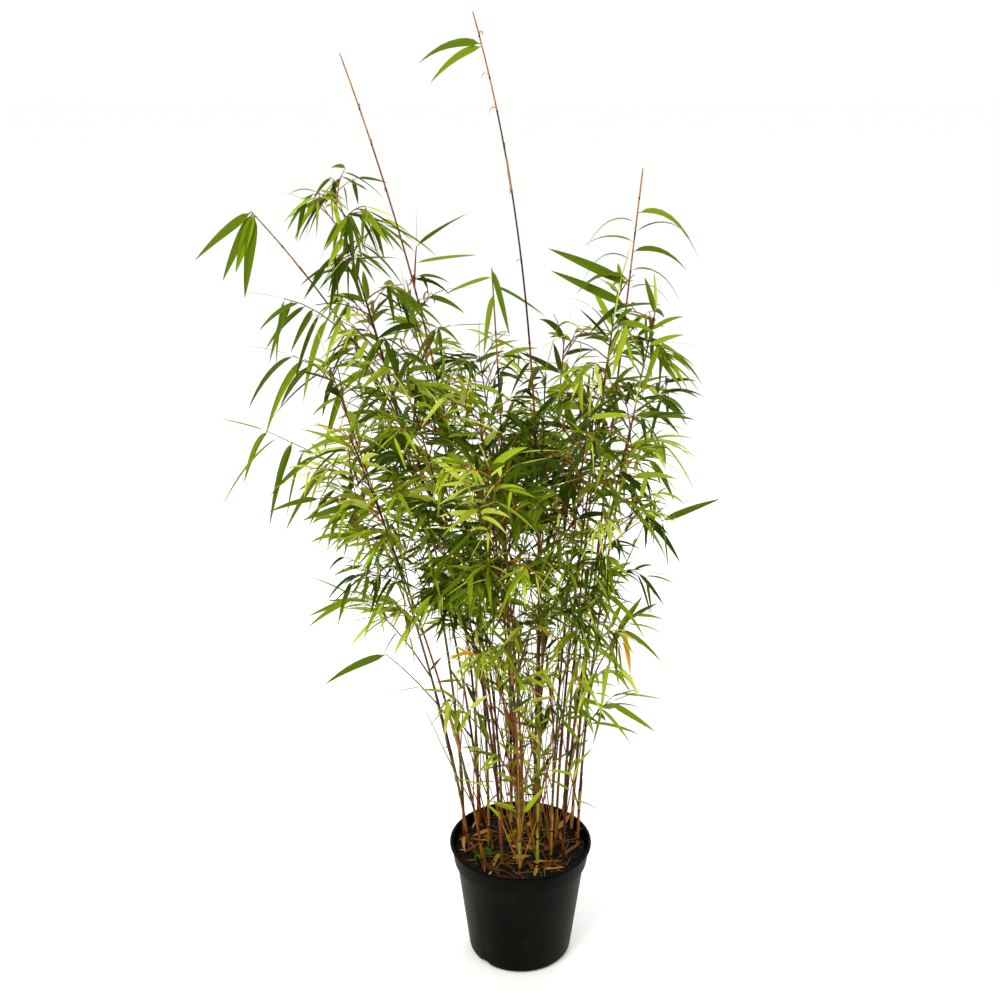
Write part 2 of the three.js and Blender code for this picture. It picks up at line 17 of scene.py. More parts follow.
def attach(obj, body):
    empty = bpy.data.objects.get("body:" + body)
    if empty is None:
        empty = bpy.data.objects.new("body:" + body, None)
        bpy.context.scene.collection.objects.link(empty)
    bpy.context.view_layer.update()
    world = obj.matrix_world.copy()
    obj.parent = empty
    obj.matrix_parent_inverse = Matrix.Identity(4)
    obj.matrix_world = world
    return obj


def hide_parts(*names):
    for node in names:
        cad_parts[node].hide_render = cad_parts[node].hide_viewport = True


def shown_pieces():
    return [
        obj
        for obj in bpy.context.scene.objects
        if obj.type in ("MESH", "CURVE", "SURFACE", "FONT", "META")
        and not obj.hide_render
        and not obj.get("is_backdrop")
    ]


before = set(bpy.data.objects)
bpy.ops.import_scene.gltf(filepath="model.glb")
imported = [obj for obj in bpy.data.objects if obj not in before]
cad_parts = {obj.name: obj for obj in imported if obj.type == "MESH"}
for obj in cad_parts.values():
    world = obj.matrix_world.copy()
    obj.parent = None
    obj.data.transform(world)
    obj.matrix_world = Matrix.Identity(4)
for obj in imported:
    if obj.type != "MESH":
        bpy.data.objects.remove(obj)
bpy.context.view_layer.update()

MM = 0.001

# %% [markdown]
# ## Camera and light
#
# A tall plant is seen from a little above, so that the mix in the pot shows. The floor is a broad
# pale sheet and the world a pale dome, as in a small studio. A wide soft lamp over the front left
# shoulder gives the leaves their light and dark sides, a weak one fills from the right, and a
# third behind the plant lights the edges of the crown.

# %% Camera
VIEW_TILT = 19.13      # degrees down from level
camera_data = bpy.data.cameras.new("camera")
camera_data.lens = 48.6
camera_data.sensor_width = 36
camera = bpy.data.objects.new("camera", camera_data)
camera.location = (-0.0334, -1.8996, 1.4431)
camera.rotation_euler = (math.radians(90 - VIEW_TILT), 0, 0)
bpy.context.scene.collection.objects.link(camera)
bpy.context.scene.camera = camera
print("camera", [round(value, 2) for value in camera.location])

# %% [markdown]
# A material is a small tree of nodes. Colours are chosen as they look on a screen, in hex, while a
# shader wants them linear, so one function turns them. A second adds any node with its settings.

# %% Helpers for colours and nodes
def hex_colour(text):
    """An sRGB hex value as the linear colour that a shader needs."""
    channels = [int(text[i:i + 2], 16) / 255 for i in (1, 3, 5)]
    linear = [c / 12.92 if c <= 0.04045 else ((c + 0.055) / 1.055) ** 2.4 for c in channels]
    return (*linear, 1.0)


def add_node(tree, kind, values=None, links=None, **settings):
    """Adds a node, sets its properties and input values, and links its inputs to sockets."""
    node = tree.nodes.new("ShaderNode" + kind)
    for name, value in settings.items():
        setattr(node, name, value)
    for name, value in (values or {}).items():
        node.inputs[name].default_value = value
    for name, source in (links or {}).items():
        tree.links.new(source, node.inputs[name])
    return node


def new_material(name, colour, roughness, **sockets):
    """A material with one Principled shader. Uniform values are set on the shader's own sockets."""
    material = bpy.data.materials.new(name)
    material.use_nodes = True
    shader = material.node_tree.nodes["Principled BSDF"]
    shader.inputs["Base Color"].default_value = hex_colour(colour)
    shader.inputs["Roughness"].default_value = roughness
    for socket, value in sockets.items():
        shader.inputs[socket.replace("_", " ")].default_value = value
    material.diffuse_color = hex_colour(colour)
    return material, material.node_tree, shader


def set_ramp(node, stops):
    """Sets a colour ramp to (place, hex colour) stops."""
    elements = node.color_ramp.elements
    while len(elements) < len(stops):
        elements.new(0.5)
    for element, (place, colour) in zip(elements, stops):
        element.position = place
        element.color = hex_colour(colour)


print("a mid grey is", round(hex_colour("#808080")[0], 3), "when linear")

# %% [markdown]
# The floor is one large square. It is declared as stage, so the count of pieces leaves it out.

# %% Floor and world
floor_mesh = bpy.data.meshes.new("floor")
floor_shape = bmesh.new()
bmesh.ops.create_grid(floor_shape, x_segments=1, y_segments=1, size=30)
floor_shape.to_mesh(floor_mesh)
floor_shape.free()
floor = bpy.data.objects.new("floor", floor_mesh)
bpy.context.scene.collection.objects.link(floor)
floor_paint, _, _ = new_material("floor_pale_paint", "#fbfbfa", 0.9)
floor_mesh.materials.append(floor_paint)
floor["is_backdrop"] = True

world = bpy.data.worlds.new("studio_dome")
world.use_nodes = True
world.node_tree.nodes["Background"].inputs["Color"].default_value = hex_colour("#ffffff")
world.node_tree.nodes["Background"].inputs["Strength"].default_value = 1.03
bpy.context.scene.world = world
bpy.context.scene.view_settings.view_transform = "Standard"
print("floor", [round(side) for side in floor.dimensions])

# %% [markdown]
# An area lamp gives soft light like a window. The key lamp is a little warm and by far the
# strongest, so that each leaf has a light and a dark side.


# %% Lamps
def add_lamp(name, place, aim, size, power, colour):
    """A square area lamp that faces a point."""
    data = bpy.data.lights.new(name, "AREA")
    data.size = size
    data.energy = power
    data.color = hex_colour(colour)[:3]
    lamp = bpy.data.objects.new(name, data)
    lamp.location = place
    lamp.rotation_euler = (Vector(aim) - Vector(place)).to_track_quat("-Z", "Y").to_euler()
    bpy.context.scene.collection.objects.link(lamp)
    print(name, power, "watts")


add_lamp("key_lamp", (-1.6, -2.4, 3.2), (0, 0, 0.7), 1.4, 88, "#fffaf0")
add_lamp("fill_lamp", (2.2, -1.8, 1.8), (0, 0, 0.7), 1.6, 16, "#fffdf6")
add_lamp("back_lamp", (0.6, 2.4, 2.6), (0, 0, 0.9), 1.6, 30, "#ffffff")

# %% [markdown]
# ## The pot
#
# A nursery pot is blow-moulded or injection-moulded black polypropylene: a thin tapering cup with
# a stiff band below the rolled rim and drain notches in its foot. It is a body of revolution, so
# its half section is spun round the axis. The notches are then cut with a Boolean, because they
# are the only things that break the round.

# %% Moulded polypropylene
pot_plastic, tree, shader = new_material("moulded_polypropylene", "#050603", 0.46,
                                         Specular_IOR_Level=0.03)
place = add_node(tree, "TexCoord").outputs["Object"]
# Clouds of dust and dried splashes, 40 mm across, that grey the plastic a little.
clouds = add_node(tree, "TexNoise", {"Scale": 25.0, "Detail": 5.0}, {"Vector": place})
film = add_node(tree, "ValToRGB", links={"Fac": clouds.outputs["Fac"]})
set_ramp(film, [(0.3, "#020301"), (0.62, "#060703"), (0.85, "#12110a")])
# Grains of dried mix, 1.5 mm, drawn a little coarse so that they show.
grains = add_node(tree, "TexVoronoi", {"Scale": 150.0}, {"Vector": place})
spots = add_node(tree, "Math", {1: 0.075}, {0: grains.outputs["Distance"]}, operation="LESS_THAN")
patch = add_node(tree, "TexNoise", {"Scale": 14.0, "Detail": 1.0}, {"Vector": place})
dusty = add_node(tree, "Math", {1: 0.58}, {0: patch.outputs["Fac"]}, operation="GREATER_THAN")
speck = add_node(tree, "Math", links={0: spots.outputs[0], 1: dusty.outputs[0]},
                 operation="MULTIPLY")
dusted = add_node(tree, "Mix", {"B": hex_colour("#5c4e34")},
                  {"Factor": speck.outputs[0], "A": film.outputs["Color"]}, data_type="RGBA")
print("clouds of dust about", round(1000 / clouds.inputs["Scale"].default_value), "mm across")

# %% [markdown]
# Painted reflection: a brown glint is painted on both flanks. Its strength grows with the distance
# from the middle plane, stops below the band, and is broken into blotches by noise.

# %% The painted glint on the flanks and the grain
axes = add_node(tree, "SeparateXYZ", links={"Vector": place})
away = add_node(tree, "Math", links={0: axes.outputs["X"]}, operation="ABSOLUTE")
flank = add_node(tree, "MapRange", {"From Min": 0.07, "From Max": 0.106, "To Max": 0.8},
                 {"Value": away.outputs[0]})
blotches = add_node(tree, "TexNoise", {"Scale": 36.0, "Detail": 10.0, "Roughness": 0.75},
                    {"Vector": place})
patchy = add_node(tree, "MapRange", {"From Min": 0.3, "From Max": 0.6, "To Min": 0.35},
                  {"Value": blotches.outputs["Fac"]})
below_band = add_node(tree, "MapRange", {"From Min": 0.166, "From Max": 0.15},
                      {"Value": axes.outputs["Z"]})
# The mask of the painted glint on the flanks, blotched and cut off below the band.
painted_glint_mask = add_node(tree, "Math", links={0: flank.outputs[0], 1: patchy.outputs[0]},
                operation="MULTIPLY")
painted_glint_mask = add_node(tree, "Math", links={0: painted_glint_mask.outputs[0], 1: below_band.outputs[0]},
                operation="MULTIPLY")
# Painted reflection: the brown glint is mixed into the base colour on both flanks.
painted_flank_glint = add_node(tree, "Mix", {"B": hex_colour("#3a2c0e")},
                  {"Factor": painted_glint_mask.outputs[0], "A": dusted.outputs["Result"]}, data_type="RGBA")
tree.links.new(painted_flank_glint.outputs["Result"], shader.inputs["Base Color"])
# The mould's fine grain, 1 mm, breaks the gloss.
grain = add_node(tree, "TexNoise", {"Scale": 900.0, "Detail": 2.0}, {"Vector": place})
relief = add_node(tree, "Bump", {"Strength": 0.12, "Distance": 0.0004},
                  {"Height": grain.outputs["Fac"]})
tree.links.new(relief.outputs["Normal"], shader.inputs["Normal"])
print("material", pot_plastic.name)

# %% [markdown]
# Every piece is modelled as a bmesh, written to a mesh, and made an object at the origin that
# rides on the plant's one body. A piece that stands for a solid says which one it replaces.


# %% Helpers that make pieces
def finish_piece(name, shape, materials, stands_for=(), smooth=True):
    """Turns a bmesh into a named piece that rides on the plant's one body."""
    mesh = bpy.data.meshes.new(name)
    shape.to_mesh(mesh)
    shape.free()
    return finish_mesh(name, mesh, materials, stands_for, smooth)


def finish_mesh(name, mesh, materials, stands_for=(), smooth=True):
    """Gives a mesh its materials and makes it a named piece."""
    for material in materials:
        mesh.materials.append(material)
    if smooth:
        mesh.polygons.foreach_set("use_smooth", [True] * len(mesh.polygons))
    piece = bpy.data.objects.new(name, mesh)
    bpy.context.scene.collection.objects.link(piece)
    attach(piece, "root")
    if stands_for:
        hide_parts(*stands_for)
    print(name, len(mesh.polygons), "faces")
    return piece


def spin_profile(shape, profile, steps):
    """Spins a half section of (radius, height) points in millimetres round the Z axis."""
    ring = [shape.verts.new((radius * MM, 0, height * MM)) for radius, height in profile]
    edges = [shape.edges.new(pair) for pair in zip(ring, ring[1:])]
    bmesh.ops.spin(shape, geom=ring + edges, axis=(0, 0, 1), cent=(0, 0, 0), steps=steps,
                   angle=math.tau, use_merge=True, use_duplicate=False)
    bmesh.ops.remove_doubles(shape, verts=shape.verts, dist=1e-6)
    bmesh.ops.recalc_face_normals(shape, faces=shape.faces)


print("a millimetre is", MM, "of a mesh unit")

# %% [markdown]
# The half section runs from the middle of the foot up the outside, over the rolled rim and down
# the inside, so one full spin gives a closed wall.

# %% Spin the pot
POT_PROFILE = [
    (0, 0), (76, 0), (80, 1.6), (82.6, 4.6), (84, 9), (103.4, 163.2), (103.8, 164.2), (106.6, 164.6),
    (107.6, 165.6), (108, 167), (112.2, 193.6), (113.4, 194.6), (114.7, 195.6), (115, 197.2),
    (114.7, 198.9), (113.4, 199.9), (111.8, 200), (110.5, 199.4), (110.1, 198), (105.2, 167),
    (101.3, 160.5), (81, 5.5), (79, 4), (0, 4),
]
pot_shape = bmesh.new()
spin_profile(pot_shape, POT_PROFILE, 128)
pot = finish_piece("pot_wall", pot_shape, [pot_plastic], ["pot"])

# %% [markdown]
# Water drains through three arched notches in the foot. Lying cylinders cut them, and the cutter
# is thrown away once the cut is part of the mesh.

# %% Cut the drain notches
NOTCH_RADIUS = 12
NOTCH_ANGLES = [-133.5, -13.5, 106.5]
cutter_shape = bmesh.new()
for angle in NOTCH_ANGLES:
    turn = Matrix.Rotation(math.radians(angle), 4, "Z")
    stand = Matrix.Translation((86 * MM, 0, -2 * MM)) @ Matrix.Rotation(math.pi / 2, 4, "Y")
    bmesh.ops.create_cone(cutter_shape, cap_ends=True, segments=32, radius1=NOTCH_RADIUS * MM,
                          radius2=NOTCH_RADIUS * MM, depth=30 * MM, matrix=turn @ stand)
cutter_mesh = bpy.data.meshes.new("notch_cutter")
cutter_shape.to_mesh(cutter_mesh)
cutter_shape.free()
cutter = bpy.data.objects.new("notch_cutter", cutter_mesh)
bpy.context.scene.collection.objects.link(cutter)
cut = pot.modifiers.new("notches", "BOOLEAN")
cut.operation = "DIFFERENCE"
cut.object = cutter
bpy.context.view_layer.update()
cut_mesh = bpy.data.meshes.new_from_object(pot.evaluated_get(bpy.context.evaluated_depsgraph_get()))
pot.modifiers.clear()
pot.data = cut_mesh
bpy.data.objects.remove(cutter)
pot.data.set_sharp_from_angle(angle=math.radians(40))
print("pot with", len(NOTCH_ANGLES), "notches:", len(pot.data.polygons), "faces")

# %% [markdown]
# ## The potting mix
#
# The mix is damp composted bark and peat, nearly black, with pale crumbs of perlite in it. Its top
# is a disc of small squares that noise lifts into lumps. Crumbs are laid over it as one joined
# mesh, because a bump pattern alone looks like cloth from close by.

# %% Peat and bark
mix_peat, tree, shader = new_material("peat_and_bark_mix", "#0e0a06", 0.95, Specular_IOR_Level=0.2)
place = add_node(tree, "TexCoord").outputs["Object"]
# Crumbs of 3 mm differ in colour: wet peat, bark and fibre.
crumbs = add_node(tree, "TexVoronoi", {"Scale": 330.0}, {"Vector": place})
tone = add_node(tree, "ValToRGB", links={"Fac": crumbs.outputs["Color"]})
set_ramp(tone, [(0.2, "#050403"), (0.6, "#0e0a06"), (0.92, "#2a1c10")])
tree.links.new(tone.outputs["Color"], shader.inputs["Base Color"])
fibre = add_node(tree, "TexNoise", {"Scale": 700.0, "Detail": 4.0}, {"Vector": place})
relief = add_node(tree, "Bump", {"Strength": 0.6, "Distance": 0.0015},
                  {"Height": fibre.outputs["Fac"]})
tree.links.new(relief.outputs["Normal"], shader.inputs["Normal"])

crumb_dark, _, _ = new_material("bark_crumb_dark", "#0b0805", 0.9, Specular_IOR_Level=0.2)
crumb_brown, _, _ = new_material("bark_crumb_brown", "#2c1b0e", 0.85, Specular_IOR_Level=0.2)
perlite, _, _ = new_material("perlite_grain", "#cfcbbd", 0.8)
print("finishes of the mix:", mix_peat.name, crumb_dark.name, crumb_brown.name, perlite.name)

# %% [markdown]
# The body of the mix is spun like the pot. Its top disc is cut into rings of small faces, and two
# sizes of noise lift them, which gives lumps that catch the light.

# %% The lumpy top of the mix
MIX_TOP = 184


def mix_height(x, y):
    """Height of the mix in millimetres, with lumps of about 25 mm and of 8 mm."""
    lumps = 3.0 * noise.noise(Vector((x / 25, y / 25, 3.1)))
    grit = 1.4 * noise.noise(Vector((x / 8, y / 8, 7.7)))
    return MIX_TOP + lumps + grit - 0.5


mix_shape = bmesh.new()
spin_profile(mix_shape, [(0, 5), (79, 5), (100.5, 160), (104.4, 167), (107, 181)], 96)
bmesh.ops.create_circle(mix_shape, cap_ends=True, cap_tris=True, segments=96, radius=107 * MM,
                        matrix=Matrix.Translation((0, 0, 181 * MM)))
bmesh.ops.remove_doubles(mix_shape, verts=mix_shape.verts, dist=1e-5)
top_faces = [f for f in mix_shape.faces if f.normal.z > 0.99 and f.calc_center_median().z > 0.18]


def spans_radius(edge):
    first, second = (vert.co.xy.length for vert in edge.verts)
    return abs(first - second) > 0.05


top_edges = [edge for edge in mix_shape.edges
             if spans_radius(edge) and any(face in top_faces for face in edge.link_faces)]
bmesh.ops.subdivide_edges(mix_shape, edges=top_edges, cuts=34, use_grid_fill=True)
for vert in mix_shape.verts:
    radius = vert.co.xy.length / MM
    if vert.co.z > 180.5 * MM and radius < 106.5:
        rise = min(1.0, (107 - radius) / 6)
        vert.co.z = (181 + rise * (mix_height(vert.co.x / MM, vert.co.y / MM) - 181)) * MM
bmesh.ops.recalc_face_normals(mix_shape, faces=mix_shape.faces)
finish_piece("mix_body", mix_shape, [mix_peat], ["potting_mix"])

# %% [markdown]
# Loose crumbs, bark chips and perlite are thousands of small things, so one shape of each kind is
# made with an operator and its copies are laid out with arrays. They come out as one joined mesh
# for each kind.


# %% Helpers for seeded numbers
def seeded_numbers(seed):
    """The same small number generator as the solids use, so that both grow alike."""
    state = (seed * 2654435761) % 4294967296

    def number(low, high):
        nonlocal state
        state = (state * 1664525 + 1013904223) % 4294967296
        return low + (high - low) * state / 4294967296

    return number


print("three seeded numbers:", [round(seeded_numbers(seed)(0, 1), 3) for seed in (1, 2, 3)])

# %% [markdown]
# Joining is done with arrays: the points of all copies in one table, and the faces of the shape
# again and again, each time counted on by the number of its points.


# %% Helpers for joined copies
def shape_arrays(shape):
    """The points and faces of a small bmesh, as arrays, and frees it."""
    shape.verts.index_update()
    points = np.array([vert.co[:] for vert in shape.verts])
    faces = np.array([[vert.index for vert in face.verts] for face in shape.faces])
    shape.free()
    return points, faces


def joined_mesh(name, points, faces, face_slots=None, uv=None, creases=None):
    """One mesh of many copies: points is (copies, points of one, 3), in millimetres."""
    copies, size, _ = points.shape
    all_faces = (faces[None] + (np.arange(copies) * size)[:, None, None]).reshape(-1, faces.shape[1])
    mesh = bpy.data.meshes.new(name)
    mesh.from_pydata((points.reshape(-1, 3) * MM).tolist(), [], all_faces.tolist())
    if face_slots is not None:
        mesh.polygons.foreach_set("material_index", np.ravel(face_slots).astype(np.int32))
    if uv is not None:
        corners = np.empty(len(mesh.loops), dtype=np.int32)
        mesh.loops.foreach_get("vertex_index", corners)
        layer = mesh.uv_layers.new(name="UVMap")
        layer.data.foreach_set("uv", uv[corners % size].ravel())
    if creases is not None:
        ends = np.empty(len(mesh.edges) * 2, dtype=np.int32)
        mesh.edges.foreach_get("vertices", ends)
        sharp = np.isin(ends.reshape(-1, 2) % size, creases).all(axis=1)
        mark = mesh.attributes.new("sharp_edge", "BOOLEAN", "EDGE")
        mark.data.foreach_set("value", sharp)
    return mesh


print("a joined mesh is laid out in millimetres and written in metres")

# %% [markdown]
# Strewn things are turned by three angles, scaled and put down, each by its own random numbers.


# %% Helpers for strewn copies
def turned_copies(points, places, turns, scales):
    """Copies of a shape, each scaled, turned by three angles and placed."""
    placed = []
    for place, turn, scale in zip(places, turns, scales):
        rotation = np.array(Matrix.Rotation(turn[2], 3, "Z") @ Matrix.Rotation(turn[1], 3, "Y")
                            @ Matrix.Rotation(turn[0], 3, "X"))
        placed.append((points * scale) @ rotation.T + place)
    return np.array(placed)


def spot_on_mix(number, reach):
    """A random place on the mix, as even near the rim as in the middle."""
    angle, radius = number(0, math.tau), reach * math.sqrt(number(0, 1))
    return radius * math.cos(angle), radius * math.sin(angle)


print("a spot on the mix:", [round(value) for value in spot_on_mix(seeded_numbers(1), 105)])

# %% [markdown]
# A crumb is a small rounded lump, so an icosphere of twenty faces will do, flattened in each copy.

# %% Crumbs and perlite on the mix
crumb_shape = bmesh.new()
bmesh.ops.create_icosphere(crumb_shape, subdivisions=1, radius=1)
crumb_points, crumb_faces = shape_arrays(crumb_shape)


def scatter_crumbs(name, count, sizes, material, seed):
    """Strews one kind of crumb over the mix, each flattened and turned in its own way."""
    number = seeded_numbers(seed)
    places, turns, scales = [], [], []
    for _ in range(count):
        x, y = spot_on_mix(number, 105)
        size = number(*sizes)
        places.append((x, y, mix_height(x, y) + size * 0.3))
        turns.append([number(0, math.tau) for _ in range(3)])
        scales.append((size, size * number(0.5, 1), size * number(0.3, 0.8)))
    points = turned_copies(crumb_points, places, turns, scales)
    finish_mesh(name, joined_mesh(name, points, crumb_faces), [material],
                smooth=False)


scatter_crumbs("crumbs_dark", 1300, (1.0, 3.2), crumb_dark, 41)
scatter_crumbs("crumbs_brown", 500, (0.8, 2.6), crumb_brown, 42)
scatter_crumbs("perlite_grains", 70, (0.6, 1.4), perlite, 43)

# %% [markdown]
# ## Canes
#
# A bamboo cane is a hollow grass stem: straight, smooth internodes between swollen joints, with a
# dark ring at each joint. Its girth hardly changes up to the first branches and then thins to a
# whip. Young stretches are olive or lime, and sun turns them straw, rust and maroon, so each
# internode has one plain colour of its own. A ring of edges is extruded along the cane's curve,
# and its size at each step gives the joints, because a plain tube would show none.

# %% Cane finishes
def cane_material(name, colour, darker):
    """Waxy cane skin: fine streaks along the fibre, 1 mm wide and 15 mm long."""
    material, tree, shader = new_material(name, colour, 0.5, Specular_IOR_Level=0.16)
    place = add_node(tree, "TexCoord").outputs["Object"]
    stretch = add_node(tree, "Mapping", {"Scale": (1.0, 1.0, 0.07)}, {"Vector": place})
    fibre = add_node(tree, "TexNoise", {"Scale": 700.0, "Detail": 3.0},
                     {"Vector": stretch.outputs["Vector"]})
    tone = add_node(tree, "ValToRGB", links={"Fac": fibre.outputs["Fac"]})
    set_ramp(tone, [(0.35, darker), (0.62, colour)])
    tree.links.new(tone.outputs["Color"], shader.inputs["Base Color"])
    relief = add_node(tree, "Bump", {"Strength": 0.15, "Distance": 0.0003},
                      {"Height": fibre.outputs["Fac"]})
    tree.links.new(relief.outputs["Normal"], shader.inputs["Normal"])
    return material


CANE_SKINS = {
    "olive": cane_material("cane_skin_olive", "#5a560a", "#3a3610"),
    "straw": cane_material("cane_skin_straw", "#a5720e", "#583a0e"),
    "rust": cane_material("cane_skin_rust", "#86460a", "#3c1a0a"),
    "maroon": cane_material("cane_skin_maroon", "#4a1c08", "#1a0a06"),
    "lime": cane_material("cane_skin_lime", "#86941a", "#5e6c12"),
    "joint": cane_material("cane_joint_ring", "#2e1c0e", "#180e08"),
}
SKIN_NAMES = list(CANE_SKINS)
sheath_paper = cane_material("cane_sheath_paper", "#a07438", "#74501f")
sheath_rust = cane_material("cane_sheath_rust", "#743a1a", "#4c2410")
print("cane finishes:", ", ".join(SKIN_NAMES))

# %% [markdown]
# The table of canes is the one that the solids were made from: foot and tip in millimetres, how
# sharply the lean grows, where the foliage begins, and how many shoots it has and how far they
# reach and hang. A cane with no shoots is a bare leader, with a small tuft at most.

# %% The canes' table
CANE_WORDS = ("foot", "tip", "bend", "leafy_from", "shoots", "reach", "hang")
CANES = [dict(zip(CANE_WORDS, row)) for row in [
    ((-52, 10), (-250, 20, 1416), 2.2),
    ((-70, 58), (-386, 40, 1203), 2.8, 1120),
    ((-93, 30), (-263, -10, 1225), 1.8, 840, 12, 62, 0.7),
    ((-84, -8), (-272, -52, 1000), 1.3, 680, 9, 66, 0.6),
    ((-62, -34), (-236, -170, 940), 1.3, 600, 10, 66, 0.5),
    ((-66, 70), (-236, 130, 1060), 1.5, 610, 11, 72, 0.5),
    ((-36, 94), (-176, 226, 1020), 1.7, 590, 10, 70, 0.5),
    ((-30, 44), (-170, 84, 1080), 1.8, 720, 11, 68, 0.4),
    ((-15, 14), (-45, -20, 1133), 2.0, 1060),
    ((-30, -48), (-150, -160, 975), 1.6, 560, 12, 68, 0.4),
    ((-2, -72), (-47, -222, 904), 1.8, 540, 12, 66, 0.4),
    ((-4, -26), (-62, -84, 940), 1.6, 580, 13, 64, 0.4),
    ((26, -62), (-69, -30, 1468), 4.0, 1385),
    ((48, -40), (84, -170, 960), 1.7, 530, 14, 66, 0.4),
    ((4, 52), (-66, 190, 960), 1.8, 560, 13, 70, 0.4),
    ((30, 84), (70, 226, 985), 1.8, 560, 12, 70, 0.4),
    ((22, 12), (34, 62, 965), 1.5, 540, 14, 64, 0.4),
    ((84, 34), (166, 30, 1264), 1.2, 1090),
    ((58, 6), (124, -46, 1060), 1.6, 700, 12, 64, 0.4),
    ((68, -32), (146, -150, 960), 1.6, 580, 10, 54, 0.5),
    ((93, 0), (186, -10, 1070), 1.7, 700, 9, 54, 0.5),
    ((74, 66), (146, 150, 1070), 1.6, 680, 10, 56, 0.4),
]]
print(len(CANES), "canes, the tallest", max(cane["tip"][2] for cane in CANES), "mm")

# %% [markdown]
# A cane stands up straight from the mix and leans more and more, so its lean is a power of the
# share of its height. It thins evenly from foot to tip.

# %% The canes' curves
CANE_FOOT_RADIUS = 2.3
CANE_TIP_RADIUS = 1.0
FOOT_HEIGHT = MIX_TOP - 1


def cane_point(cane, t):
    """The middle of a cane at a share t of its height: straight at first, leaning more and more."""
    lean = t ** cane["bend"]
    (foot_x, foot_y), (tip_x, tip_y, tip_z) = cane["foot"], cane["tip"]
    return Vector((foot_x + (tip_x - foot_x) * lean, foot_y + (tip_y - foot_y) * lean,
                   FOOT_HEIGHT + (tip_z - FOOT_HEIGHT) * t))


def share_at_height(cane, z):
    return (z - FOOT_HEIGHT) / (cane["tip"][2] - FOOT_HEIGHT)


def point_at_height(cane, z):
    return cane_point(cane, share_at_height(cane, z))


def cane_radius(t):
    return CANE_FOOT_RADIUS + (CANE_TIP_RADIUS - CANE_FOOT_RADIUS) * t


def joint_heights(cane, number):
    """Internodes are short at the foot, longest half way up, and short again in the crown."""
    top = cane["tip"][2]
    heights, z = [], FOOT_HEIGHT + number(10, 40)
    while z < top - 25:
        heights.append(z)
        share = share_at_height(cane, z)
        z += (48 + 70 * math.sin(math.pi * min(1.0, share * 1.15)) ** 0.8) * number(0.85, 1.15)
    return heights


print("the first cane has joints at", [round(z) for z in joint_heights(CANES[0], seeded_numbers(300))])

# %% [markdown]
# Each internode has one skin, drawn by odds that change with the height. Outer canes and the tall
# leaders have had more sun, so maroon leads there, and a leader's last stretch is dry straw.


# %% The skins of the internodes
def skin_for(height, i, number):
    """An internode's colour: straw and olive near the mix, rust and maroon higher up."""
    if i == 12 and height < 420:
        return "lime"
    draw = number(0, 1)
    if "shoots" not in CANES[i] and height > CANES[i]["tip"][2] - 150:
        return "straw"
    if height > 640 and "shoots" not in CANES[i]:
        odds = (("maroon", 0.7), ("rust", 1.0))
    elif height < 260 and math.hypot(*CANES[i]["foot"]) > 75:
        odds = (("rust", 0.35), ("maroon", 0.9), ("straw", 1.0))
    elif height < 260:
        odds = (("straw", 0.46), ("rust", 0.78), ("olive", 0.98), ("lime", 1.0))
    elif height < 640:
        odds = (("olive", 0.3), ("rust", 0.52), ("maroon", 0.92), ("straw", 1.0))
    else:
        odds = (("maroon", 0.42), ("olive", 0.68), ("rust", 1.0))
    return next(name for name, limit in odds if draw <= limit)


print("the first cane's foot is", skin_for(200, 0, seeded_numbers(300)))

# %% [markdown]
# A cane is a row of rings of eight points. Three rings stand along each internode, and four close
# ones at a joint swell out and carry the dark colour.


# %% The rings of a cane
def ring_frame(point, tangent, radius):
    """The placement of a unit circle across a cane at a point, in metres."""
    turn = tangent.to_track_quat("Z", "Y").to_matrix().to_4x4()
    return Matrix.Translation(point * MM) @ turn @ Matrix.Scale(radius * MM, 4)


def cane_rings(cane, heights, i, number):
    """Heights, girths and skins of the rings, from below the mix to the tip."""
    rings = [(FOOT_HEIGHT - 6, 1.0, "straw")]
    for low, high in zip([FOOT_HEIGHT - 6, *heights], [*heights, cane["tip"][2]]):
        skin = skin_for(low, i, number)
        is_last = high == cane["tip"][2]
        for share in (0.2, 0.5, 0.8):
            rings.append((low + (high - low) * share, 1.0, skin))
        if not is_last:
            rings.extend([(high - 2.2, 1.02, skin), (high - 0.8, 1.2, "joint"),
                          (high + 0.4, 1.24, "joint"), (high + 1.4, 1.02, "joint")])
    rings.append((cane["tip"][2], 0.7, rings[-1][2]))
    return rings


print("rings of a cane with one joint:", len(cane_rings(CANES[0], [300], 0, seeded_numbers(1))))

# %% [markdown]
# Extruding the open edges and then moving the new circle to its place keeps the skin one tube. The
# move is worked out from the last ring's placement, so nothing drifts.


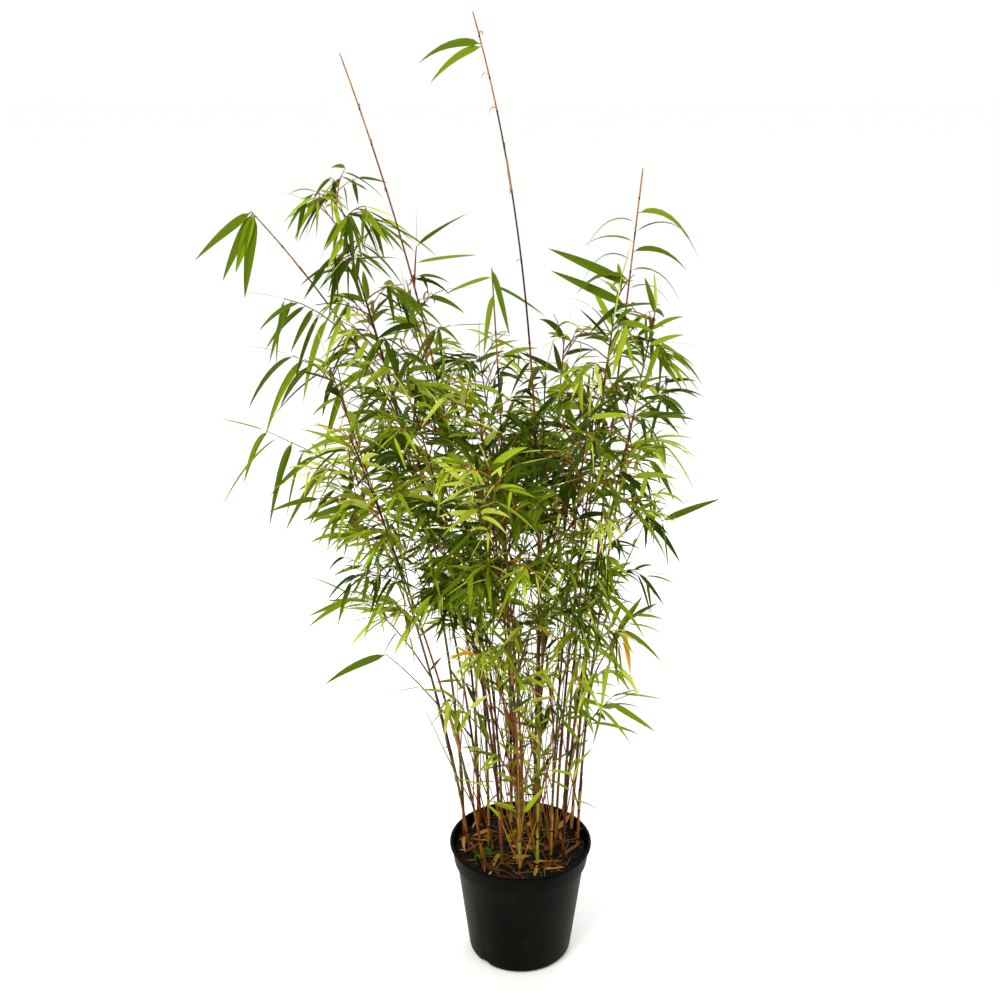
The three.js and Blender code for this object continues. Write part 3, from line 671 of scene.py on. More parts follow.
# %% Build each cane as one relief mesh
def build_cane(i, cane):
    """Extrudes a cane from ring to ring, and gives back the heights of its joints."""
    number = seeded_numbers(300 + i)
    heights = joint_heights(cane, number)
    shape = bmesh.new()
    verts = bmesh.ops.create_circle(shape, segments=8, radius=1)["verts"]
    edges = list(shape.edges)
    frame_now = Matrix.Identity(4)
    for step, (height, girth, skin) in enumerate(cane_rings(cane, heights, i, number)):
        t = share_at_height(cane, height)
        above, below = cane_point(cane, max(t, 0) + 0.004), cane_point(cane, max(t - 0.004, 0))
        centre = cane_point(cane, max(t, 0))
        centre.z = height
        frame_next = ring_frame(centre, (above - below).normalized(), cane_radius(max(t, 0)) * girth)
        if step:
            made = bmesh.ops.extrude_edge_only(shape, edges=edges)["geom"]
            verts = [part for part in made if isinstance(part, bmesh.types.BMVert)]
            edges = [part for part in made if isinstance(part, bmesh.types.BMEdge)
                     and part.verts[0] in verts and part.verts[1] in verts]
            for face in (part for part in made if isinstance(part, bmesh.types.BMFace)):
                face.material_index = SKIN_NAMES.index(skin)
        bmesh.ops.transform(shape, matrix=frame_next @ frame_now.inverted(), verts=verts)
        frame_now = frame_next
    bmesh.ops.holes_fill(shape, edges=edges, sides=8)
    bmesh.ops.recalc_face_normals(shape, faces=shape.faces)
    name = f"cane_skin_{i + 1:02d}"
    finish_piece(name, shape, list(CANE_SKINS.values()), [f"cane_{i + 1:02d}"])
    return heights


cane_joints = [build_cane(i, cane) for i, cane in enumerate(CANES)]
print("joints on all canes:", sum(len(heights) for heights in cane_joints))

# %% [markdown]
# Each joint of a young cane is wrapped in a sheath, a papery leaf base that dries to tan or rust
# and hangs on for a year or two. A sheath is an open cone with a slit, cut to a point at its top.
# One cone is shaped and copied, as sheaths differ only in size and turn.

# %% Sheaths
sheath_shape = bmesh.new()
bmesh.ops.create_cone(sheath_shape, cap_ends=False, segments=10, radius1=1.0, radius2=1.25, depth=1,
                      matrix=Matrix.Translation((0, 0, 0.5)))
slit = [f for f in sheath_shape.faces if f.calc_center_median().x < -0.9]
bmesh.ops.delete(sheath_shape, geom=slit, context="FACES")
rising = [edge for edge in sheath_shape.edges if abs(edge.verts[0].co.z - edge.verts[1].co.z) > 0.5]
bmesh.ops.subdivide_edges(sheath_shape, edges=rising, cuts=2)
for vert in sheath_shape.verts:
    vert.co.z *= 0.62 + 0.38 * max(0.0, vert.co.x / math.hypot(vert.co.x, vert.co.y))
sheath_points, sheath_faces = shape_arrays(sheath_shape)


def wrap_sheaths(name, material, seed):
    """Wraps one kind of sheath round some joints, most often near the foot."""
    number = seeded_numbers(seed)
    copies = []
    for i, (cane, heights) in enumerate(zip(CANES, cane_joints)):
        limit = cane.get("leafy_from", 1300)
        for height, above in zip(heights, heights[1:]):
            if number(0, 1) > SHEATH_CHANCE * (1.3 if height < 350 else 0.6) or height > limit:
                continue
            t = share_at_height(cane, height)
            length = (above - height) * number(0.55, 0.95)
            top = cane_point(cane, t + length / (cane["tip"][2] - FOOT_HEIGHT))
            base = cane_point(cane, t)
            girth = cane_radius(t) * number(1.04, 1.16)
            turn = (top - base).to_track_quat("Z", "Y").to_matrix()
            turn = turn @ Matrix.Rotation(number(0, math.tau), 3, "Z")
            scaled = sheath_points * (girth, girth, length)
            copies.append(scaled @ np.array(turn).T + np.array(base))
    finish_mesh(name, joined_mesh(name, np.array(copies), sheath_faces), [material])
    print(name, "copies:", len(copies))


SHEATH_CHANCE = 0.16
wrap_sheaths("sheaths_paper", sheath_paper, 51)
wrap_sheaths("sheaths_rust", sheath_rust, 52)

# %% [markdown]
# ## Twigs
#
# Bamboo branches from its joints in thin arching shoots, which branch again and end in fans of
# leaves. The rule is the one that the solids grew by: shoots leave the thin top of a cane at the
# golden turn, rise between 8 and 52 degrees and arch over, and a shoot is kept only where it stays
# nearer to its own stem than to any other. Here each shoot also gets side twigs, and it is longer,
# because its leaves have their real size and the crown has to keep its reach.

# %% Curves that twigs follow
UP = Vector((0, 0, 1))
GOLDEN_TURN = math.radians(137.508)
RETRY_TURN = math.radians(67)
FIRST_SEED = 9
FIRST_SPRAY_SEED = 101


def heading_at(azimuth, rise=0.0):
    """The direction at an azimuth and a rise."""
    return Vector((math.cos(azimuth) * math.cos(rise), math.sin(azimuth) * math.cos(rise),
                   math.sin(rise)))


def sideways_from(tangent, side, swing=0.0):
    """The direction square to a twig on one side of it, swung round the twig."""
    sideways = tangent.cross(UP).normalized() * side
    sideways.rotate(Matrix.Rotation(swing, 3, tangent))
    return sideways


def pick(number, *choices):
    return choices[int(number(0, len(choices) - 0.01))]


class Arch:
    """A quadratic arch from root to tip that lifts its middle above the straight line."""

    def __init__(self, root, tip, lift):
        self.root, self.tip = Vector(root), Vector(tip)
        self.control = (self.root + self.tip) / 2 + UP * 2 * lift

    def point(self, t):
        return self.root * (1 - t) ** 2 + self.control * 2 * t * (1 - t) + self.tip * t ** 2

    def tangent(self, t):
        return ((self.control - self.root) * (1 - t) + (self.tip - self.control) * t).normalized()

    def length(self):
        return (self.tip - self.root).length


class CaneTop:
    """The thin top of a cane, as a curve that leaves and shoots can stand on."""

    def __init__(self, cane):
        self.cane = cane
        self.start = share_at_height(cane, cane["leafy_from"])

    def point(self, t):
        return cane_point(self.cane, self.start + (1 - self.start) * t)

    def tangent(self, t):
        return (self.point(min(t + 0.01, 1)) - self.point(max(t - 0.01, 0))).normalized()


tops = {i: CaneTop(cane) for i, cane in enumerate(CANES) if "leafy_from" in cane}
print(len(tops), "canes have a leafy top")

# %% [markdown]
# Masses don't mix: a point has room when the stem of its own cane is nearer than any other. That
# keeps each cane's foliage in its own space, with sky between the fans.

# %% Room between the stems
crown = [i for i in tops if "shoots" in CANES[i]]
stem_points = {i: np.array([tops[i].point(k / 12) for k in range(13)]) for i in crown}


def nearest(point, i):
    return np.linalg.norm(stem_points[i] - np.array(point), axis=1).min()


def has_room(point, own, slack):
    home = nearest(point, own)
    return all(nearest(point, other) > home - slack for other in crown if other != own)


print("leafy canes:", len(crown), "bare leaders with a tuft:", len(tops) - len(crown))

# %% [markdown]
# ## One leaf, one fan, one shoot
#
# Leaves and twigs are only listed here, as places and sizes, and made into meshes later. A leaf
# opens to one side of its twig and hangs. A fan sets leaves left and right in turn. A shoot has a
# fan, side twigs with smaller fans, and now and then a rolled young leaf as thin as a needle.

# %% The growth rule for leaves
twigs = []        # (curve, root radius, tip radius, skin)
leaves = []       # one dictionary for each leaf
LEAF_LENGTH = 92
LEAF_SLENDERNESS = 8.7
LEAF_TONES = ["deep", "green", "mid", "fresh", "lime"]


def grow_leaf(curve, share, side, spread, hang, droop, tone, number, size=1.0, toward=None, roll=1.25):
    """A leaf opens to one side of its twig, turned down by hang and rolled a little."""
    tangent = curve.tangent(share)
    sideways = sideways_from(tangent, side, number(-1, 1)) if toward is None else heading_at(toward)
    opening = math.radians(number(*spread))
    direction = tangent * math.cos(opening) + sideways * math.sin(opening) - UP * hang * number(0.4, 1.2)
    direction.normalize()
    across = UP.cross(direction).normalized()
    across.rotate(Matrix.Rotation(number(-roll, roll), 3, direction))
    length = LEAF_LENGTH * size * number(0.72, 1.2)
    leaves.append(dict(
        root=curve.point(share), direction=direction, across=across, length=length,
        width=length / LEAF_SLENDERNESS * number(0.85, 1.15), droop=number(*droop),
        twist=number(-0.5, 0.5), fold=number(0.15, 0.5), tone=tone, dry=number(0, 1) < 0.08,
    ))


def spear(curve, tone, number):
    """The rolled young leaf that ends a twig, as thin as a needle and in line with it."""
    grow_leaf(curve, 1.0, 1, (0, 12), 0.1, (0.0, 0.15), tone, number, 0.8)
    leaves[-1]["width"] *= 0.22


def tone_near(base, number):
    """A leaf's tone: its spray's own, or now and then one step lighter or darker."""
    return min(max(round(base + number(-0.9, 0.9)), 0), len(LEAF_TONES) - 1)


def fan_of_leaves(curve, count, start, spread, hang, droop, base, number, size=1.0):
    """Sets leaves to the left and right in turn, from the share start to the twig's tip."""
    for k in range(count):
        share = start + (0.99 - start) * k / max(count - 1, 1)
        side = 1 if k % 2 else -1
        grow_leaf(curve, share, side, spread, hang, droop, tone_near(base, number), number, size)


print("leaf tones, dark to pale:", ", ".join(LEAF_TONES))

# %% [markdown]
# A real crown isn't even. Each cane has its own fullness, and a few zones of the crown are barer,
# where sky shows through, or denser. The leafiness of a point thins out both leaves and side twigs.

# %% How full the crown is
# Canes that are fuller or barer than the rule.
FULLNESS = {3: 2.2, 4: 0.75, 5: 1.9, 6: 1.5, 7: 0.8, 8: 0.5, 10: 1.6, 16: 0.5, 19: 0.9, 20: 0.65, 21: 0.85}
# Parts of the crown that are fuller or barer: left, right, bottom and top, and how full.
ZONES = [
    (-95, 115, 880, 2000, 0.35),
    (-500, -195, 850, 1080, 0.5),
    (-500, -235, 830, 1130, 0.6),
    (-500, -225, 885, 1010, 0.5),
    (-205, -110, 1000, 1300, 0.6),
    (40, 190, 960, 1060, 0.4),
    (60, 240, 850, 950, 1.4),
    (135, 500, 640, 890, 0.45),
    (165, 300, 980, 1100, 1.2),
    (-210, -70, 560, 760, 2.4),
]


def leafiness(point, own):
    """How full the foliage is: thin near the mix, in the tops and at the flanks, full between."""
    low, high = (point.z - 360) / 240, (1240 - point.z) / 420
    flank = 1.05 - 0.6 * min(1.0, abs(point.x + 20) / 290) ** 2
    full = min(1.0, max(0.35, low), max(0.4, high)) * flank * FULLNESS.get(own + 1, 1.0)
    for left, right, bottom, top, factor in ZONES:
        if left < point.x < right and bottom < point.z < top:
            full *= factor
    return full


print("leafiness in the middle and at the left:", [round(leafiness(Vector(spot), 0), 2)
                                                   for spot in ((0, 0, 700), (-250, 0, 900))])

# %% [markdown]
# A shoot draws its tone and its skin once, so that all of its leaves match. Shoots near the middle
# of the clump get darker greens as painted shade, outer ones a little paler as painted light, and
# low or front ones have smaller leaves.

# %% The growth rule for shoots
SIDE_TWIGS = 4
PALE_CANE = 9          # its upper foliage all takes the palest tone


def grow_shoot(curve, own, hang, number):
    """A shoot with its side twigs, each ending in a fan of leaves."""
    # Painted shade: shoots that end near the middle of the clump take darker greens, and the rest take
    # slightly paler ones as painted light.
    shaded_inside = math.hypot(curve.tip.x, curve.tip.y) < 130
    base = int(max(0, number(0, 4.4) + (-1.0 if shaded_inside else 0.1)))
    if own + 1 == PALE_CANE and curve.root.z > 800:
        base = 4
    skin = pick(number, "straw", "rust", "rust", "straw")
    reach, full = curve.length(), leafiness(curve.tip, own)
    young = min(1.0, max(0.66, curve.tip.z / 850)) * (0.8 if curve.tip.y < -150 else 1.0)
    twigs.append((curve, 1.15, 0.65, skin))
    size = number(0.56, 1.0) * young
    fan_of_leaves(curve, round(number(3, 6) * full), 0.3, (16, 62), hang, (0.08, 0.5), base,
                  number, size)
    if number(0, 1) < 0.35:
        spear(curve, 4, number)
    for k in range(SIDE_TWIGS):
        if number(0, 1) > full:
            continue
        share = 0.2 + 0.6 * k / SIDE_TWIGS + number(0, 0.12)
        tangent = curve.tangent(share)
        sideways = sideways_from(tangent, 1 if k % 2 else -1, number(-1.2, 1.2))
        opening = math.radians(number(28, 62))
        heading = tangent * math.cos(opening) + sideways * math.sin(opening)
        length = reach * number(0.34, 0.6)
        root = curve.point(share)
        tip = root + heading * length
        if not has_room(tip, own, 20):
            continue
        twig = Arch(root, tip, length * 0.07)
        twigs.append((twig, 0.85, 0.5, skin))
        size = number(0.44, 0.84) * young
        fan_of_leaves(twig, int(number(3, 6.4)), 0.28, (16, 66), hang, (0.08, 0.5), base, number, size)


print("a shoot has up to", SIDE_TWIGS, "side twigs")

# %% [markdown]
# Shoots climb each leafy top at the golden turn. Where one would leave its space it tries another
# direction, and after fourteen tries it is left out.

# %% Grow the crown
SHOOT_REACH = 1.62
SHOOTS_EACH = 1.5


def grow_crown(i):
    """The shoots of one cane and the fans at its tip."""
    cane, top = CANES[i], tops[i]
    number = seeded_numbers(FIRST_SEED + i)
    count = round(cane["shoots"] * SHOOTS_EACH)
    for k in range(count):
        climb = (k + 0.4) / count
        length = cane["reach"] * SHOOT_REACH * (1 - 0.4 * climb) * number(0.75, 1.1)
        for attempt in range(14):
            azimuth = FIRST_SEED + i + k * GOLDEN_TURN + attempt * RETRY_TURN
            rise = math.radians(number(8, 52))
            root = top.point(climb)
            tip = root + heading_at(azimuth, rise) * length
            if has_room(tip, i, 8):
                hang = cane["hang"] * (1.5 if tip.z > 1000 else 0.6)
                grow_shoot(Arch(root, tip, length * 0.1), i, hang, number)
                break
    hang = 1.3 if cane["tip"][2] > 1150 else 0.5
    for _ in range(2):
        fan_of_leaves(top, 3, 0.86, (18, 60), hang, (0.1, 0.4), int(number(0, 3.9)), number, 0.8)
    if hang < 1:
        spear(top, 4, number)
        return
    # The tall left cane ends in a nodding twig with a fan of long leaves.
    root = top.point(1)
    twig = Arch(root, root + Vector((-36, -6, 4)), 6)
    twigs.append((twig, 0.8, 0.5, "rust"))
    fan_of_leaves(twig, 4, 0.2, (8, 34), 1.5, (0.1, 0.4), 1, number, 0.8)


for i in crown:
    grow_crown(i)
print("crown:", len(twigs), "twigs and", len(leaves), "leaves")

# %% [markdown]
# ## Tufts and side sprays
#
# Four leaders carry a small tuft below their tip: one nods, one hangs, one has two leaves to its
# left, and one has long leaves that arch to both sides. The table is the solids' own.

# %% Tufts of the leaders
TUFTS = {
    # Numbered as the canes are, from 0.
    1: dict(count=4, size=1.25, start=0.93, end=0.99, toward=185, hang=1.9,
            spread=(5, 35), droop=(0.05, 0.2), falls=(78, 68, 60, 33)),
    8: dict(count=4, start=0.5, end=0.98, hang=1.6, spread=(10, 60), droop=(0.05, 0.2)),
    12: dict(count=2, size=0.95, start=0.52, end=0.48, toward=180, hang=0,
             spread=(62, 85), droop=(0.4, 0.6), falls=(-10, 12)),
    17: dict(count=9, size=1.15, start=0.02, end=0.64, toward=0, both=True, hang=0,
             spread=(46, 76), droop=(0.4, 0.8)),
}


def face_front(leaf, azimuth, rise):
    """Point a leaf along an azimuth and rise in degrees, with its flat side to the front."""
    leaf["direction"] = heading_at(math.radians(azimuth), math.radians(rise))
    leaf["across"] = Vector((0.15, -0.9, 0.4)).cross(leaf["direction"]).normalized()


def grow_tuft(i):
    tuft, number = TUFTS[i], seeded_numbers(FIRST_SEED + i)
    for k in range(tuft["count"]):
        share = tuft["start"] + (tuft["end"] - tuft["start"]) * k / (tuft["count"] - 1)
        turn = FIRST_SEED + i + k * GOLDEN_TURN
        if "toward" in tuft:
            turn = math.radians(tuft["toward"]) + (math.pi if tuft.get("both") and k % 2 else 0)
            turn += number(-0.3, 0.3)
        grow_leaf(tops[i], share, 1, tuft["spread"], tuft["hang"], tuft["droop"],
                  tone_near(1.5, number), number, tuft.get("size", 1.0), toward=turn, roll=0.7)
        if "falls" in tuft:
            face_front(leaves[-1], 180, -tuft["falls"][k])
            leaves[-1]["width"] *= 1.35


for i in TUFTS:
    grow_tuft(i)
print("with the tufts:", len(leaves), "leaves")

# %% [markdown]
# A long twig hangs clear of the right flank, and its last leaf points out and up. Two long leaves
# reach across the gap between the middle leader and the right one.

# %% Long twig and long leaves
number = seeded_numbers(320)
twig = Arch(point_at_height(CANES[20], 866), (206, -20, 758), 16)
twigs.append((twig, 1.0, 0.5, "rust"))
fan_of_leaves(twig, 4, 0.4, (10, 34), 0.8, (0.1, 0.4), 1, number, 0.8)
grow_leaf(twig, 1, 1, (0, 10), 0, (0.02, 0.08), 1, number)
leaves[-1].update(length=96, width=10)
face_front(leaves[-1], 0, 26)
number = seeded_numbers(300)
for height, length, rise in ((1100, 134, 28), (1070, 124, 27)):
    curve = Arch(point_at_height(CANES[17], height), CANES[17]["tip"], 0)
    grow_leaf(curve, 0, 1, (0, 10), 0, (0.02, 0.08), 1, number)
    leaves[-1].update(length=length, width=length / 9.5)
    face_front(leaves[-1], 184, rise)
print("long twig and leaves:", len(leaves), "leaves so far")

# %% [markdown]
# Long side sprays hang out from the bare stretches of the outer canes, each a twig with a row of
# leaves. The table is the solids' own. Left sprays are long and hang, front ones small.

# %% Side sprays
SPRAYS = {
    # name: the cane it grows from, the height, the tip, the lift of its arch, leaves, hang
    "left_high": (2, 1010, (-336, -20, 1090), 12, 6, 1.6),
    "left_upper": (2, 850, (-340, 60, 990), 18, 7, 1.6),
    "left_middle": (2, 660, (-380, 20, 886), 26, 9, 1.4),
    "left_lower": (4, 500, (-250, -30, 640), 18, 5, 0.8),
    "left_low": (5, 450, (-205, -60, 560), 8, 2, 0.2),
    "leader_left": (1, 1100, (-150, 0, 1160), 8, 3, 0.5),
    "right_lower": (21, 480, (160, -40, 600), 14, 5, 0.6),
    "right_low": (20, 380, (132, -80, 490), 14, 4, 0.8),
    "front_low": (11, 330, (-40, -110, 420), 10, 3, 0.5),
    "front_middle": (14, 400, (64, -120, 510), 14, 4, 0.8),
    "front_left": (10, 400, (-110, -130, 520), 14, 5, 0.6),
    "front_right": (20, 470, (120, -170, 590), 14, 5, 0.6),
    "front_high": (11, 480, (0, -190, 590), 14, 6, 0.6),
    "back_low": (16, 400, (60, 160, 510), 14, 5, 0.8),
    "back_left": (7, 420, (-120, 170, 540), 14, 5, 0.6),
}
print(len(SPRAYS), "side sprays with", sum(row[4] for row in SPRAYS.values()), "leaves on their twigs")

# %% [markdown]
# Some low sprays end in one long leaf that stands clear. A spray that hangs is long and has large
# leaves, and the fuller of the short ones get three side twigs.

# %% Grow the sprays
# The rise, azimuth and length of the end leaves.
END_LEAVES = {"left_low": (-15, 180, 104), "right_low": (-31, 0, 84)}


def spray_size(name, is_long):
    if name in ("left_middle", "leader_left"):
        return 1.15
    return 1.1 if is_long else 0.6 if "front" in name else 0.76


def grow_spray(name, seed):
    """A long twig with a row of leaves and, on the fuller short ones, three side twigs."""
    number = seeded_numbers(seed)
    host, height, tip, lift, count, hang = SPRAYS[name]
    curve = Arch(point_at_height(CANES[host - 1], height), tip, lift)
    base = int(number(0, 4.6))
    twigs.append((curve, 1.4, 0.6, "rust" if number(0, 1) < 0.6 else "olive"))
    is_long = hang > 1
    size = spray_size(name, is_long)
    base = 0.6 + 0.3 * base if is_long else base
    droop = (0.2, 0.6) if is_long else (0.05, 0.3)
    fan_of_leaves(curve, count + is_long, 0.4 if is_long else 0.45, (14, 50), hang, droop, base,
                  number, size)
    if name in END_LEAVES:
        rise, azimuth, length = END_LEAVES[name]
        leaves[-1].update(length=length, width=length / 9)
        face_front(leaves[-1], azimuth, rise)
    if name == "right_lower":
        # One leaf has turned yellow and hangs straight down.
        leaves[-2].update(yellow=True, length=74, width=10, direction=Vector((0.2, 0, -1)).normalized())
    for j in range(0 if is_long or count < 4 else 3):
        share = 0.5 + 0.16 * j
        tangent = curve.tangent(share)
        sideways = sideways_from(tangent, 1 if j % 2 else -1)
        heading = (tangent + sideways * number(0.4, 0.9) + UP * number(-0.2, 0.3)).normalized()
        length = number(28, 46)
        twig = Arch(curve.point(share), curve.point(share) + heading * length, length * 0.1)
        twigs.append((twig, 0.7, 0.45, "olive"))
        fan_of_leaves(twig, 2, 0.6, (14, 46), hang, (0.05, 0.3), base, number, size)
    spear(curve, 2, number)


for k, name in enumerate(SPRAYS):
    grow_spray(name, FIRST_SPRAY_SEED + k)
print("with", len(SPRAYS), "side sprays:", len(leaves), "leaves")

# %% [markdown]
# Low joints put up thin side stems too, nearly in line with the cane, with few and small leaves.
# They fill the foot of the clump with fine upright lines.

# %% Thin side stems
def grow_low_stems(i, cane, heights):
    """Thin upright stems from the low joints of one cane, most of them in the middle of the clump."""
    number = seeded_numbers(500 + i)
    foot_x = cane["foot"][0]
    for height in sorted(heights * 3):
        chance = 0.9 if -20 < foot_x < 56 else 0.6 if -40 < foot_x < -20 and height > 340 else 0.16
        if height > min(cane.get("leafy_from", 700), 700) or number(0, 1) > chance:
            continue
        root, share = point_at_height(cane, height), share_at_height(cane, height)
        along = (cane_point(cane, share + 0.02) - root).normalized()
        turn = number(0, math.tau)
        lean = math.tan(math.radians(number(4, 20)))
        length = number(90, 300)
        heading = (along + heading_at(turn) * lean).normalized()
        stem = Arch(root, root + heading * length, -length * 0.03)
        twigs.append((stem, 1.2, 0.5, pick(number, "olive", "rust", "rust", "straw")))
        size = number(0.4, 0.66)
        base = int(number(0, 4.9))
        count = int(number(0, 6.9)) if stem.tip.z > 340 else 0
        fan_of_leaves(stem, count, 0.4, (20, 70), 0.3, (0, 0.3), base, number, size)


for i, (cane, heights) in enumerate(zip(CANES, cane_joints)):
    grow_low_stems(i, cane, heights)
print("with the thin stems:", len(twigs), "twigs and", len(leaves), "leaves")

# %% [markdown]
# The two tallest canes still wear scraps of the papery sheaths that wrapped them when young.

# %% Scraps of sheath
number = seeded_numbers(900)
for i in (0, 12):
    for height in [z for z in cane_joints[i] if z > 1100]:
        curve = Arch(point_at_height(CANES[i], height), CANES[i]["tip"], 0)
        grow_leaf(curve, 0, 1, (12, 34), 0, (0.6, 1.0), 1, number)
        leaves[-1].update(length=number(16, 34), width=number(2.4, 3.6), sheath=True)
print("whole plant:", len(twigs), "twigs and", len(leaves), "leaves")

# %% [markdown]
# Every twig is the same four-sided rod, bent along its own arch with arrays. A rod needs few
# faces, since the thickest is 3 mm across.

# %% Twigs as joined rods
rod_shape = bmesh.new()
bmesh.ops.create_cone(rod_shape, cap_ends=False, segments=4, radius1=1, radius2=1, depth=1,
                      matrix=Matrix.Translation((0, 0, 0.5)))
upright = [edge for edge in rod_shape.edges if abs(edge.verts[0].co.z - edge.verts[1].co.z) > 0.5]
bmesh.ops.subdivide_edges(rod_shape, edges=upright, cuts=3)
rod_points, rod_faces = shape_arrays(rod_shape)


def bent_rods(rows):
    """Copies of the rod along arches, from rows of (root, control, tip, root radius, tip radius)."""
    root, control, tip = (np.array([row[k] for row in rows], dtype=float)[:, None] for k in range(3))
    thick, thin = (np.array([row[k] for row in rows], dtype=float)[:, None, None] for k in (3, 4))
    t = rod_points[None, :, 2, None]
    centre = root * (1 - t) ** 2 + control * 2 * t * (1 - t) + tip * t ** 2
    tangent = (control - root) * (1 - t) + (tip - control) * t
    tangent /= np.linalg.norm(tangent, axis=2, keepdims=True)
    reference = np.where(np.abs(tangent[:, :1, :1]) < 0.7, [[[1.0, 0, 0]]], [[[0, 1.0, 0]]])
    side = reference - tangent * (tangent * reference).sum(axis=2, keepdims=True)
    side /= np.linalg.norm(side, axis=2, keepdims=True)
    across = np.cross(side, tangent)
    radius = thick + (thin - thick) * t
    return centre + (side * rod_points[None, :, 0, None] + across * rod_points[None, :, 1, None]) * radius


def join_rods(name, rows, skin, stands_for=()):
    mesh = joined_mesh(name, bent_rods(rows), rod_faces)
    finish_mesh(name, mesh, [CANE_SKINS[skin]], stands_for)


foliage_nodes = [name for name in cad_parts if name.startswith(("foliage", "spray"))]
for skin in ("olive", "rust", "straw"):
    rows = [(c.root, c.control, c.tip, thick, thin) for c, thick, thin, tone in twigs if tone == skin]
    join_rods(f"twigs_{skin}", rows, skin, foliage_nodes)

# %% [markdown]
# ## Leaves
#
# A bamboo leaf is a long narrow blade on a short stalk, widest a third of the way along, with a
# keel along its midrib and a drawn-out tip. One blade is shaped from a small grid: its rows are
# drawn in to the outline. Each copy is then folded along its midrib, twisted, and bent down under
# its own weight. Leaves come in five greens that are dealt out by spray, so neighbours match, and
# some have dry tips.

# %% One blade from a grid
BLADE_WIDTHS = [0.1, 0.16, 0.72, 0.95, 1.0, 0.93, 0.78, 0.55, 0.28, 0.03]
BLADE_ROWS = [0.0, 0.05, 0.12, 0.22, 0.34, 0.48, 0.62, 0.77, 0.9, 1.0]
blade_shape = bmesh.new()
bmesh.ops.create_grid(blade_shape, x_segments=2, y_segments=len(BLADE_ROWS) - 1, size=0.5)
for vert in blade_shape.verts:
    row = round((vert.co.y + 0.5) * (len(BLADE_ROWS) - 1))
    vert.co.x *= 2 * BLADE_WIDTHS[row]
    vert.co.y = BLADE_ROWS[row]
blade_points, blade_faces = shape_arrays(blade_shape)
midrib = np.flatnonzero(np.abs(blade_points[:, 0]) < 1e-6)
tip_faces = blade_points[blade_faces].mean(axis=1)[:, 1] > 0.93
print("blade:", len(blade_faces), "faces,", len(midrib), "points on the midrib")


def bent_blades(rows):
    """Copies of the blade: x runs across it, y along it."""
    def column(key):
        return np.array([row[key] for row in rows], dtype=float)

    root, direction, across = (column(key)[:, None] for key in ("root", "direction", "across"))
    length, width, droop, twist, fold = (column(key)[:, None, None]
                                         for key in ("length", "width", "droop", "twist", "fold"))
    upper = np.cross(direction, across)
    x, y = blade_points[None, :, 0, None], blade_points[None, :, 1, None]
    turn = twist * y
    wide = across * np.cos(turn) + upper * np.sin(turn)
    proud = upper * np.cos(turn) - across * np.sin(turn)
    fall = np.array([0, 0, -1.0]) * droop * length * y ** 2
    shorter = 1 - 0.25 * droop * y
    return (root + direction * length * y * shorter + fall + wide * width / 2 * x
            + proud * width / 2 * fold * np.abs(x))


# %% [markdown]
# A leaf's skin is matt with a little gloss. It has fine veins along it and a plain base colour.


# %% Leaf finishes
def leaf_material(name, colour, vein):
    """Leaf skin: dull gloss and parallel veins 1 mm apart, drawn coarser than life to show."""
    material, tree, shader = new_material(name, colour, 0.6, Specular_IOR_Level=0.06)
    along = add_node(tree, "UVMap", uv_map="UVMap").outputs["UV"]
    veins = add_node(tree, "TexWave", {"Scale": 2.2, "Distortion": 0.0}, {"Vector": along},
                     bands_direction="X")
    tone = add_node(tree, "Mix", {"A": hex_colour(colour), "B": hex_colour(vein)},
                    {"Factor": veins.outputs["Fac"]}, data_type="RGBA")
    tree.links.new(tone.outputs["Result"], shader.inputs["Base Color"])
    relief = add_node(tree, "Bump", {"Strength": 0.1, "Distance": 0.0002},
                      {"Height": veins.outputs["Fac"]})
    tree.links.new(relief.outputs["Normal"], shader.inputs["Normal"])
    return material


LEAF_SKINS = {
    "deep": leaf_material("leaf_skin_deep", "#2c3e01", "#364802"),
    "green": leaf_material("leaf_skin_green", "#4a5e02", "#546805"),
    "mid": leaf_material("leaf_skin_mid", "#687a07", "#73850e"),
    "fresh": leaf_material("leaf_skin_fresh", "#829412", "#8ea01e"),
    "lime": leaf_material("leaf_skin_lime", "#a9b33e", "#b4be4e"),
    "yellow": leaf_material("leaf_skin_yellow", "#d9a41c", "#c98c18"),
    "dry": leaf_material("leaf_skin_dry", "#c9a765", "#b48c4c"),
}
print("leaf finishes:", ", ".join(LEAF_SKINS))

# %% [markdown]
# Each tone becomes one joined mesh. Beside the five greens, a few low leaves have turned yellow,
# and one leaf in twelve has a dry tip.

# %% Deal the leaves out and join them by tone
number = seeded_numbers(77)
for leaf in leaves:
    leaf["skin"] = LEAF_TONES[leaf["tone"]]
    if leaf["root"].z < 900 and number(0, 1) < 0.004 or "yellow" in leaf:
        leaf["skin"] = "yellow"
    if "sheath" in leaf:
        leaf["skin"] = "dry"


def join_leaves(name, rows, skins, stands_for=()):
    """One mesh of bent blades, with the second skin on the tips of those that are dry."""
    points = bent_blades(rows)
    dry = np.array([row["dry"] for row in rows])
    slots = (dry[:, None] & tip_faces[None]).astype(int)
    uv = np.column_stack([blade_points[:, 0], blade_points[:, 1]])
    mesh = joined_mesh(name, points, blade_faces, slots, uv, midrib)
    return finish_mesh(name, mesh, skins, stands_for)


for tone in [*LEAF_TONES, "yellow", "dry"]:
    rows = [leaf for leaf in leaves if leaf["skin"] == tone]
    join_leaves(f"leaves_{tone}", rows, [LEAF_SKINS[tone], LEAF_SKINS["dry"]], stands_for=foliage_nodes)
    print(tone, len(rows), "leaves")

# %% [markdown]
# ## Litter on the mix
#
# Old leaves, sheaths and straws lie on the mix and against the rim. They are the plant's own blade
# and rod shapes again, wider and curled, in tan, orange and brown. A few large ones lie where they
# catch the eye, and the rest are strewn by seed.

